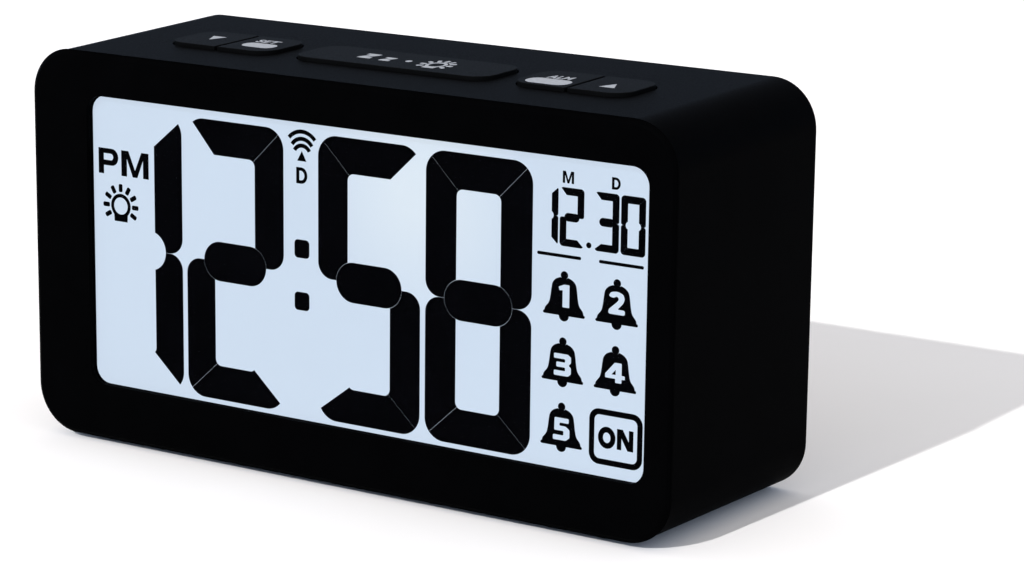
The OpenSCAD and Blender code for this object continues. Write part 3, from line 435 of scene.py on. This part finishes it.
def arc(x, y, r, start, stop, steps=10):
    """Points on a circle about x, y from one angle to another, in degrees."""
    angles = [math.radians(start + (stop - start) * i / steps) for i in range(steps + 1)]
    return [(x + r * math.cos(a), y + r * math.sin(a)) for a in angles]


def circle(x, y, r):
    """A closed circle."""
    return arc(x, y, r, 0, 350, 35)


def box_outline(x0, y0, x1, y1, r):
    """A rectangle with round corners."""
    corners = ((x1 - r, y0 + r, -90), (x1 - r, y1 - r, 0), (x0 + r, y1 - r, 90), (x0 + r, y0 + r, 180))
    return [point for x, y, start in corners for point in arc(x, y, r, start, start + 90, 6)]


def band(x, y, r, stroke, start, stop):
    """A stroke along a circle, r to its outside."""
    return arc(x, y, r, start, stop, 24) + arc(x, y, r - stroke, stop, start, 24)


def moved(outline, x, y):
    """An outline moved by x and y."""
    return [(x + px, y + py) for px, py in outline]


def turned(outline, angle):
    """An outline turned about the origin by degrees."""
    c = math.cos(math.radians(angle))
    s = math.sin(math.radians(angle))
    return [(c * x - s * y, s * x + c * y) for x, y in outline]


def through(points, steps=5):
    """A smooth cubic curve through the points."""
    ends = [points[0], *points, points[-1]]
    curve = []
    for a, b, c, d in zip(ends, ends[1:], ends[2:], ends[3:]):
        for i in range(steps):
            t = i / steps
            curve.append(tuple(
                0.5 * (2 * q + (r - p) * t + (2 * p - 5 * q + 4 * r - s) * t ** 2
                       + (3 * q - p - 3 * r + s) * t ** 3)
                for p, q, r, s in zip(a, b, c, d)))
    return curve + [points[-1]]


def meshed(name, data, place):
    """A curve or a text as a mesh, put in place."""
    source = bpy.data.objects.new(name, data)
    bpy.context.scene.collection.objects.link(source)
    bpy.context.view_layer.update()
    graph = bpy.context.evaluated_depsgraph_get()
    mesh = bpy.data.meshes.new_from_object(source.evaluated_get(graph))
    bpy.data.objects.remove(source)
    mesh.materials.clear()
    mesh.name = name
    mesh.transform(place)
    return bpy.data.objects.new(name, mesh)


def plate(name, outlines, place, body, slot, material, thick):
    """A thin plate from closed outlines in millimetres. An outline inside another is a hole."""
    curve = bpy.data.curves.new(name, "CURVE")
    curve.dimensions = "2D"
    curve.fill_mode = "BOTH"
    curve.extrude = thick / 2
    for outline in outlines:
        spline = curve.splines.new("POLY")
        spline.points.add(len(outline) - 1)
        for point, (x, y) in zip(spline.points, outline):
            point.co = (x, y, 0, 1)
        spline.use_cyclic_u = True
    return keep(meshed(name, curve, place), body, slot, material)


# The largest share of a side that the rounding of one of its corners takes
SIDE_SHARE = 0.48


def rounded(points, r, steps=4):
    """An outline with its corners rounded, each by a curve that starts up to r before it."""
    corners = [Vector(point) for point in points]
    outline = []
    for before, corner, after in zip(corners[-1:] + corners, corners, corners[1:] + corners[:1]):
        start, end = (
            corner + (other - corner).normalized() * min(r, (other - corner).length * SIDE_SHARE)
            for other in (before, after))
        for i in range(steps + 1):
            t = i / steps
            outline.append(tuple(start * (1 - t) ** 2 + corner * (2 * t * (1 - t)) + end * t ** 2))
    return outline


def ellipse(x, y, rx, ry):
    """A closed ellipse."""
    return [(x + rx * px, y + ry * py) for px, py in circle(0, 0, 1)]


# The outlines of bold letters and numbers, in millimetres from the lower left corner
M_HALF = [(3.9, 0), (5.35, 3.7), (5.35, 0), (6.7, 0), (6.7, 5.2), (4.95, 5.2), (3.35, 1.35)]
M_WIDE = 6.7
GLYPHS = {
    "P": [
        [(0, 0), (1.4, 0), (1.4, 1.75), *arc(3.6, 3.48, 1.72, -90, 90), (0, 5.2)],
        [(1.4, 2.85), *arc(3.3, 3.5, 0.68, -90, 90), (1.4, 4.18)],
    ],
    "M": [M_HALF + [(M_WIDE - x, y) for x, y in reversed(M_HALF[:-1])]],
    "D": [
        [(0, 0), *arc(1.25, 1.45, 1.45, -90, 90), (0, 2.9)],
        [(0.75, 0.6), *arc(1.15, 1.45, 0.85, -90, 90), (0.75, 2.3)],
    ],
    "O": [ellipse(1.95, 2.05, 1.95, 2.05), ellipse(1.95, 2.05, 0.85, 0.98)],
    "N": [[
        (0, 0), (0.95, 0), (0.95, 2.3), (2.3, 0), (3.5, 0),
        (3.5, 4), (2.55, 4), (2.55, 1.7), (1.2, 4), (0, 4),
    ]],
    "Z": [[
        (0, 0), (3, 0), (3, 1), (1.7, 1), (3, 3.1),
        (3, 4), (0, 4), (0, 3), (1.3, 3), (0, 0.9),
    ]],
    "1": [rounded([
        (0.9, 0), (2.4, 0), (2.4, 4.4), (1.2, 4.4), (0, 3.9), (0.2, 3.2), (0.9, 3.3),
    ], 0.12)],
    "2": [rounded([
        (0, 0), (2.8, 0), (2.8, 0.95), (1.5, 0.95), (2.5, 2.2), (2.75, 3.0), (2.5, 3.9), (1.5, 4.3),
        (0.4, 4.1), (0, 3.3), (0.85, 3.0), (1.4, 3.45), (1.8, 2.95), (1.5, 2.4), (0, 0.8),
    ], 0.35)],
    "3": [rounded([
        (0, 4.2), (2.3, 4.2), (2.8, 3.7), (2.8, 2.6), (2.4, 2.15), (2.8, 1.7), (2.8, 0.5), (2.3, 0),
        (0, 0), (0, 0.95), (1.85, 0.95), (1.85, 1.65), (0.4, 1.65), (0.4, 2.6), (1.85, 2.6),
        (1.85, 3.25), (0, 3.25),
    ], 0.2)],
    "4": [
        rounded([
            (1.55, 0), (2.5, 0), (2.5, 0.85), (3.0, 0.85), (3.0, 1.65), (2.5, 1.65), (2.5, 4.2),
            (1.45, 4.2), (0, 1.7), (0, 0.85), (1.55, 0.85),
        ], 0.15),
        [(0.95, 1.65), (1.6, 1.65), (1.6, 2.75)],
    ],
    "5": [rounded([
        (0.25, 4.2), (2.6, 4.2), (2.6, 3.3), (1.1, 3.3), (1.05, 2.7), (2.1, 2.7), (2.75, 2.1),
        (2.75, 0.6), (2.1, 0), (0, 0), (0, 0.95), (1.75, 0.95), (1.75, 1.8), (0.2, 1.8),
    ], 0.2)],
}


def fitted(outlines, x0, y0, x1, y1):
    """Outlines stretched to fill a box."""
    xs = [x for outline in outlines for x, _ in outline]
    ys = [y for outline in outlines for _, y in outline]
    left = min(xs)
    foot = min(ys)
    wide = (x1 - x0) / (max(xs) - left)
    high = (y1 - y0) / (max(ys) - foot)
    return [[(x0 + (x - left) * wide, y0 + (y - foot) * high) for x, y in outline]
            for outline in outlines]


def lettering(name, text, box, place, body, slot, material, thick, weight):
    """Letters of the built-in font, stretched to fill a box of x0, y0, x1, y1."""
    font = bpy.data.curves.new(name, "FONT")
    font.body = text
    font.offset = weight
    font.extrude = thick / 2
    piece = meshed(name, font, Matrix.Identity(4))
    xs = [vertex.co.x for vertex in piece.data.vertices]
    ys = [vertex.co.y for vertex in piece.data.vertices]
    x0, y0, x1, y1 = box
    wide = (x1 - x0) / (max(xs) - min(xs))
    high = (y1 - y0) / (max(ys) - min(ys))
    stretch = Matrix.Translation((x0, y0, 0)) @ Matrix.Diagonal((wide, high, 1, 1))
    to_corner = Matrix.Translation((-min(xs), -min(ys), 0))
    piece.data.transform(place @ stretch @ to_corner)
    return keep(piece, body, slot, material)


# Figures and signs on the display
def upright_stroke(size, lean, free):
    """The upper left stroke of a figure. Its corner cut leans, and a free end is sharp inside."""
    top = size.height / 2
    apart = size.gap / 2
    bow = size.bar / 2 + size.gap
    bow_x = size.inset + size.bar / 2
    meet = math.degrees(math.acos((size.stroke - bow_x) / bow))
    leave = 180 - math.degrees(math.asin(apart / bow))
    outer = 0 if free else math.degrees(apart / size.corner)
    inner = math.degrees(apart / size.inner)
    inset = size.stroke + size.inner
    joined = arc(inset, top - inset, size.inner, 135 + inner, 180, 3)
    corner = [(size.stroke, top - size.stroke)] if free else joined
    return (arc(size.notch, apart + size.notch, size.notch, 270, 180)
            + arc(size.corner, top - size.corner, size.corner, 180, 135 + lean + outer)
            + corner + arc(bow_x, 0, bow, meet, leave))


def level_end(size, lean, free):
    """The left end of a figure's top stroke, cut as an upright stroke is."""
    top = size.height / 2
    outer = 0 if free else math.degrees(size.gap / 2 / size.corner)
    inner = math.degrees(size.gap / 2 / size.inner)
    inset = size.stroke + size.inner
    joined = arc(inset, top - inset, size.inner, 90, 135 - inner, 3)
    corner = [(size.stroke, top - size.stroke)] if free else joined
    return corner + arc(size.corner, top - size.corner, size.corner, 135 + lean - outer, 90)


def level_stroke(size, left, right):
    """The top stroke of a figure from its left end and the mirror image of its right end."""
    return left + [(size.width - x, y) for x, y in reversed(right)]


def middle_stroke(size):
    """The bar across the middle of a figure."""
    r = size.bar / 2
    return arc(size.width - size.inset - r, 0, r, -90, 90, 20) + arc(size.inset + r, 0, r, 90, 270, 20)


def figure(size, number, left, low):
    """The strokes of a seven-stroke figure whose lower left corner is at left, low."""
    lit = STROKES[number]
    joined = level_end(size, 0, False)
    left_end = joined if "f" in lit else level_end(size, FREE_LEFT_LEAN, True)
    right_end = joined if "b" in lit else level_end(size, FREE_RIGHT_LEAN, True)
    foot = level_end(size, LOWER_LEAN if "e" in lit else FREE_FOOT_LEAN, False)
    free = "a" not in lit
    side = upright_stroke(size, FREE_UPRIGHT_LEAN if free else 0, free)
    low_side = upright_stroke(size, LOWER_LEAN, False)
    level = level_stroke(size, foot, level_end(size, LOWER_LEAN, False))
    strokes = {
        "a": level_stroke(size, left_end, right_end),
        "b": [(size.width - x, y) for x, y in side],
        "c": [(size.width - x, -y) for x, y in low_side],
        "d": [(x, -y) for x, y in level],
        "e": [(x, -y) for x, y in low_side],
        "f": side,
        "g": middle_stroke(size),
    }
    return [moved(strokes[name], left, low + size.height / 2) for name in lit]


def lamp_sign(x, y, scale):
    """A lamp with rays, for the light. Its bulb has a round hole."""
    rays = [turned(box_outline(*LAMP_RAY), angle) for angle in range(-30, 211, 30)]
    bulb = [*LAMP_BASE, *arc(0, 0, LAMP_R, -46, 226, 30)]
    shapes = (*rays, bulb, circle(0, 0, LAMP_HOLE_R))
    return [[(x + px * scale, y + py * scale) for px, py in shape] for shape in shapes]


def bell_outline(x, rim):
    """A bell with a knob on top and a clapper below."""
    knob = arc(0, KNOB_HIGH, KNOB_R, -60, 90, 8)
    half = through([(BELL_RIM, BELL_LIP), *BELL_HALF]) + knob
    right = arc(BELL_RIM, BELL_LIP / 2, BELL_LIP / 2, -90, 60, 4) + half
    left = [(-px, py) for px, py in reversed(right)]
    clapper = arc(0, 0, CLAPPER_R, 180, 360, 12)
    return moved(right + left[1:] + clapper, x, rim)


lens_low, lens_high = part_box("front_lens")
film_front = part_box("polarisers")[0].y / MM
window_x = lens_low.x / MM + LENS_RIM
window_z = lens_low.z / MM + LENS_RIM


def on_display(lift):
    """Places a print in front of the lit film: x to the right, y up and z out of the window."""
    axes = Matrix(((1, 0, 0), (0, 0, -1), (0, 1, 0))).to_4x4()
    corner = Matrix.Translation((window_x, film_front - lift, window_z))
    return Matrix.Scale(MM, 4) @ corner @ axes


display_place = on_display(PRINT_BACK + PRINT_THICK / 2)
numeral_place = on_display(PRINT_BACK + PRINT_THICK / 2 + NUMERAL_FRONT)


def display_plate(name, outlines):
    """A dark sign on the display."""
    return plate(name, outlines, display_place, "clock", "display_glass", segment_ink, PRINT_THICK)


def display_letters(letters):
    """Dark letters on the display, each in its box."""
    for name, (letter, box) in letters.items():
        display_plate(name, fitted(GLYPHS[letter], *box))


def display_mask():
    """The dark border round the lit field, behind the edge of the window."""
    wide = (lens_high.x - lens_low.x) / MM - 2 * LENS_RIM
    high = (lens_high.z - lens_low.z) / MM - 2 * LENS_RIM
    outer = box_outline(-MASK_BEYOND, -MASK_BEYOND, wide + MASK_BEYOND, high + MASK_BEYOND, MASK_R)
    display_plate("display_mask", [outer, box_outline(MASK_LEFT, MASK_LOW, wide, MASK_TOP, MASK_R)])


def display_figures():
    """The time, its colon and the date."""
    for place, (left, number) in enumerate(BIG_FIGURES):
        display_plate(f"time_figure_{place}", figure(BIG, number, left, BIG_LOW))
    colon = [box_outline(COLON_LEFT, low, COLON_RIGHT, low + COLON_HIGH, COLON_R) for low in COLON_LOWS]
    display_plate("time_colon", colon)
    for place, (left, number) in enumerate(SMALL_FIGURES):
        display_plate(f"date_figure_{place}", figure(SMALL, number, left, SMALL_LOW))
    lines = [box_outline(left, DATE_LINE_LOW, left + DATE_LINE_LONG, DATE_LINE_TOP, DATE_LINE_R)
             for left in DATE_LINES]
    display_plate("date_lines", [*lines, circle(*DATE_POINT)])
    display_letters(DATE_LETTERS)


def display_signs():
    """The half of the day, the light, the radio signal, the alarms and the switch box."""
    display_letters(HALF_DAY_LETTERS)
    display_plate("light_sign", lamp_sign(*LAMP_SIGN, 1))
    waves = [band(RADIO_X, y, r, RADIO_STROKE, 90 - half, 90 + half) for y, r, half in RADIO_WAVES]
    display_plate("radio_sign", [*waves, RADIO_MAST])
    display_letters(RADIO_LETTER)
    for number, ((x, rim), (half, foot, head)) in enumerate(zip(BELLS, BELL_NUMBERS), 1):
        display_plate(f"bell_{number}", [bell_outline(x, rim)])
        shape = fitted(GLYPHS[str(number)], x - half, rim + foot, x + half, rim + head)
        plate(f"bell_number_{number}", shape, numeral_place, "clock", "display_glass",
              finishes["polariser_film"], PRINT_THICK)
    display_plate("switch_box", [box_outline(*SWITCH_OUTER), box_outline(*SWITCH_INNER)])
    display_letters(SWITCH_LETTERS)


# Prints on the keys
def on_key(node, at):
    """Places a print on a key: its origin on the key's top and its z axis out of it."""
    x, y = at
    mesh = nodes[node].data
    tree = BVHTree.FromPolygons([v.co for v in mesh.vertices], [p.vertices for p in mesh.polygons])
    far_above = Vector((x * MM, y * MM, 1))
    spot, normal, _, _ = tree.ray_cast(far_above, Vector((0, 0, -1)))
    along = Vector((1, 0, 0))
    behind = normal.cross(along)
    axes = Matrix((along, behind, normal)).transposed().to_4x4()
    lifted = Matrix.Translation(spot + normal * KEY_PRINT_THICK / 2 * MM)
    return lifted @ axes @ Matrix.Scale(MM, 4)


def key_plate(node, name, outlines, at):
    """A pale sign on a key."""
    return plate(name, outlines, on_key(node, at), body_of[node], "key_black", key_ink, KEY_PRINT_THICK)


def key_letters(node, name, text, half, at):
    """Pale letters on a key, half their width and height given."""
    half_x, half_y = half
    return lettering(name, text, (-half_x, -half_y, half_x, half_y), on_key(node, at), body_of[node],
                     "key_black", key_ink, KEY_PRINT_THICK, PRINT_WEIGHT)


def pill(half_x, half_y, r):
    """The outlines of a filled pill about the origin."""
    return [box_outline(-half_x, -half_y, half_x, half_y, r)]


def key_prints():
    """The signs on the five keys."""
    key_plate("key_down", "print_down", [[(x, -y) for x, y in ARROW]], DOWN_AT)
    key_plate("key_set", "print_set_pill", pill(*SET_PILL), SET_PILL_AT)
    key_letters("key_set", "print_set", "SET", SET_HALF, SET_AT)
    for name, (half_x, half_y, at) in SNOOZE_Z.items():
        shape = fitted(GLYPHS["Z"], -half_x, -half_y, half_x, half_y)
        key_plate("key_snooze", f"print_snooze_{name}", shape, at)
    key_plate("key_snooze", "print_dot", [ellipse(0, 0, *DOT_HALF)], DOT_AT)
    lamp = [[(x, y * LAMP_STRETCH) for x, y in shape] for shape in lamp_sign(0, 0, LAMP_SHARE)]
    key_plate("key_snooze", "print_light", lamp, LAMP_AT)
    key_letters("key_alarm", "print_alarm", "ALM", ALARM_HALF, ALARM_AT)
    key_plate("key_alarm", "print_alarm_pill", pill(*ALARM_PILL), ALARM_PILL_AT)
    key_plate("key_up", "print_up", [ARROW], UP_AT)


# Battery cells
def lathe(name, profile, place, steps=56):
    """A solid turned about z, from points of radius, height and the material of the next ring."""
    form = bmesh.new()
    rings = []
    for r, z, _ in profile:
        if r == 0:
            rings.append([form.verts.new((0, 0, z))] * steps)
            continue
        around = arc(0, 0, r, 0, 360 - 360 / steps, steps - 1)
        rings.append([form.verts.new((x, y, z)) for x, y in around])
    for (low, high), (_, _, paint) in zip(zip(rings, rings[1:]), profile):
        for i in range(steps):
            j = (i + 1) % steps
            corners = list(dict.fromkeys((low[i], low[j], high[j], high[i])))
            face = form.faces.new(corners)
            face.material_index = paint
            face.smooth = True
    bmesh.ops.recalc_face_normals(form, faces=form.faces)
    for e in form.edges:
        e.smooth = e.calc_face_angle() < EDGE_ANGLE
    mesh = bpy.data.meshes.new(name)
    form.to_mesh(mesh)
    form.free()
    mesh.transform(place)
    return bpy.data.objects.new(name, mesh)


def cell_profile(r, length):
    """Radius, height and material along a cell's outline, from its base to the tip of its pole."""
    metal, jacket, stripe = range(3)
    end = length - POLE_LONG
    base = ((0, 0.3, metal), (BASE_R - 0.4, 0.3, metal), (BASE_R, 0.02, metal))
    lower_curl = ((6.0, 0.02, jacket), (6.3, 0.25, jacket), (6.7, 0.1, jacket),
                  (r - JACKET_CURL, 0.3, jacket))
    side = ((r, 0.8, jacket), (r, end - BAND_LONG, stripe), (r, end - 0.9, stripe))
    upper_curl = ((r - JACKET_CURL, end - 0.35, stripe), (6.5, end - 0.1, stripe))
    cap = ((6.1, end - 0.35, metal), (5.7, end, metal), (3.4, end, metal), (3.1, end - 0.2, metal))
    pole = ((POLE_R, end - 0.1, metal), (POLE_R, length - 0.3, metal), (POLE_R - 0.31, length, metal))
    return base + lower_curl + side + upper_curl + cap + pole + ((0, length, metal),)


def aa_cells():
    """Plain cells with a coloured band, each turned end for end from the one below it."""
    low, high = (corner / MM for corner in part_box("aa_cells"))
    d = high.y - low.y
    r = d / 2
    pitch = (high.z - low.z - d) / (CELL_COUNT - 1)
    corners = [vertex.co / MM for vertex in nodes["aa_cells"].data.vertices]
    for i in range(CELL_COUNT):
        z = low.z + r + i * pitch
        own = [corner for corner in corners if abs(corner.z - z) < r + NEAR]
        x0 = min(corner.x for corner in own)
        x1 = max(corner.x for corner in own)
        points_right = max(abs(corner.z - z) for corner in own if x1 - corner.x < NEAR) < r / 2
        start = Matrix.Translation((x0 if points_right else x1, (low.y + high.y) / 2, z))
        facing = Matrix.Rotation(math.radians(90 if points_right else -90), 4, "Y")
        piece = lathe(f"cell_{i}", cell_profile(r, x1 - x0), Matrix.Scale(MM, 4) @ start @ facing)
        for material in (finishes["nickel"], finishes["cell_jacket"], cell_band):
            piece.data.materials.append(material)
        keep(piece, "clock", "cell_jacket", None, "aa_cells")


# Key mat
def key_dome(name, x, y, low, high):
    """A hollow silicone dome on the key mat."""
    tall = high - low
    roof = tall - DOME_SKIN
    profile = [
        (0, tall), (DOME_TOP_R - 0.22, tall), (DOME_TOP_R, tall - 0.2), (3.5, MAT_THICK + 0.25),
        (3.65, MAT_THICK + 0.06), (DOME_R, MAT_THICK), (DOME_R, 0), (DOME_R - 0.6, 0),
        (1.45, roof - 0.15), (1.2, roof), (0, roof),
    ]
    foot = Vector((x, y, low))
    place = Matrix.Scale(MM, 4) @ Matrix.Translation(foot)
    piece = lathe(name, [(r, z, 0) for r, z in profile], place)
    keep(piece, "clock", slot_of["key_mat"], finishes["key_silicone"], "key_mat")
    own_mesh(piece)


def key_mat():
    """The silicone sheet under the keys, with a dome below each plunger."""
    low, high = (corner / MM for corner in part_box("key_mat"))
    y = (low.y + high.y) / 2
    corners = [vertex.co / MM for vertex in nodes["key_mat"].data.vertices]
    tops = sorted(corner.x for corner in corners if corner.z > high.z - NEAR)
    starts = [i for i, x in enumerate(tops) if i == 0 or x - tops[i - 1] > DOME_APART]
    domes = [(tops[i] + tops[j - 1]) / 2 for i, j in zip(starts, starts[1:] + [len(tops)])]
    for number, (x, joint) in enumerate(zip(domes, DOME_JOINTS)):
        key_dome(f"key_dome_{number}", x, y, low.z, high.z)
    holes = [circle(x, y, DOME_R + DOME_GAP) for x in domes]
    sheet = [box_outline(low.x, low.y, high.x, high.y, MAT_CORNER), *holes]
    place = Matrix.Scale(MM, 4) @ Matrix.Translation((0, 0, low.z + MAT_THICK / 2))
    piece = plate("key_sheet", sheet, place, "clock", slot_of["key_mat"], finishes["key_silicone"],
                  MAT_THICK)
    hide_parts("key_mat")


# Stage
def floor():
    """A wide pale floor."""
    mesh = bpy.data.meshes.new("floor")
    h = FLOOR_HALF
    mesh.from_pydata([(-h, -h, 0), (h, -h, 0), (h, h, 0), (-h, h, 0)], [], [(0, 1, 2, 3)])
    piece = bpy.data.objects.new("floor", mesh)
    mesh.materials.append(surface("floor", FLOOR_COLOUR, 0.9, specular=0.0, depth=0.0, mottle=0.01,
                                  mottle_size=60))
    bpy.context.scene.collection.objects.link(piece)


def lights():
    """A sun from the front and a sky that is blue at the horizon."""
    scene = bpy.context.scene
    sun = bpy.data.lights.new("sun", "SUN")
    sun.energy = SUN_STRENGTH
    sun.angle = SUN_ANGLE
    lamp = bpy.data.objects.new("sun", sun)
    lamp.rotation_euler = SUN_ALONG.to_track_quat("-Z", "Y").to_euler()
    scene.collection.objects.link(lamp)
    world = bpy.data.worlds.new("studio")
    world.use_nodes = True
    made = world.node_tree.nodes
    links = world.node_tree.links
    split = made.new("ShaderNodeSeparateXYZ")
    links.new(made.new("ShaderNodeTexCoord").outputs["Generated"], split.inputs["Vector"])
    sky = ramp(made, links, split.outputs["Z"], HORIZON_LIGHT, ZENITH_LIGHT, 0.0, 1.0)
    links.new(sky, made["Background"].inputs["Color"])
    scene.world = world
    scene.view_settings.view_transform = "Standard"


def camera():
    """The photograph's camera."""
    back = Vector((math.sin(AZIMUTH) * math.cos(ELEVATION),
                   -math.cos(AZIMUTH) * math.cos(ELEVATION),
                   math.sin(ELEVATION)))
    right = (-back).cross(Vector((0, 0, 1))).normalized()
    up = right.cross(-back)
    across = right * math.cos(ROLL) + up * math.sin(ROLL)
    upward = up * math.cos(ROLL) - right * math.sin(ROLL)
    lens = bpy.data.cameras.new("camera")
    lens.sensor_width = SENSOR
    lens.lens = SENSOR * FOCAL_PIXELS / IMAGE_WIDTH
    eye = bpy.data.objects.new("camera", lens)
    facing = Matrix((across, upward, back)).transposed().to_4x4()
    eye.matrix_world = Matrix.Translation(CAMERA_AT) @ facing
    bpy.context.scene.collection.objects.link(eye)
    bpy.context.scene.camera = eye


# The whole clock
camera()
lights()
floor()
for name, piece in nodes.items():
    piece.data.materials.clear()
    piece.data.materials.append(finishes[slot_of[name]])
for name, edge in MOULDED.items():
    softened(name, edge, rear_black if name in REAR else finishes[slot_of[name]])
for name in nodes:
    if slot_of[name] == "key_black":
        softened(name, KEY_EDGE, finishes["key_black"])
display_mask()
display_figures()
display_signs()
key_prints()
aa_cells()
key_mat()
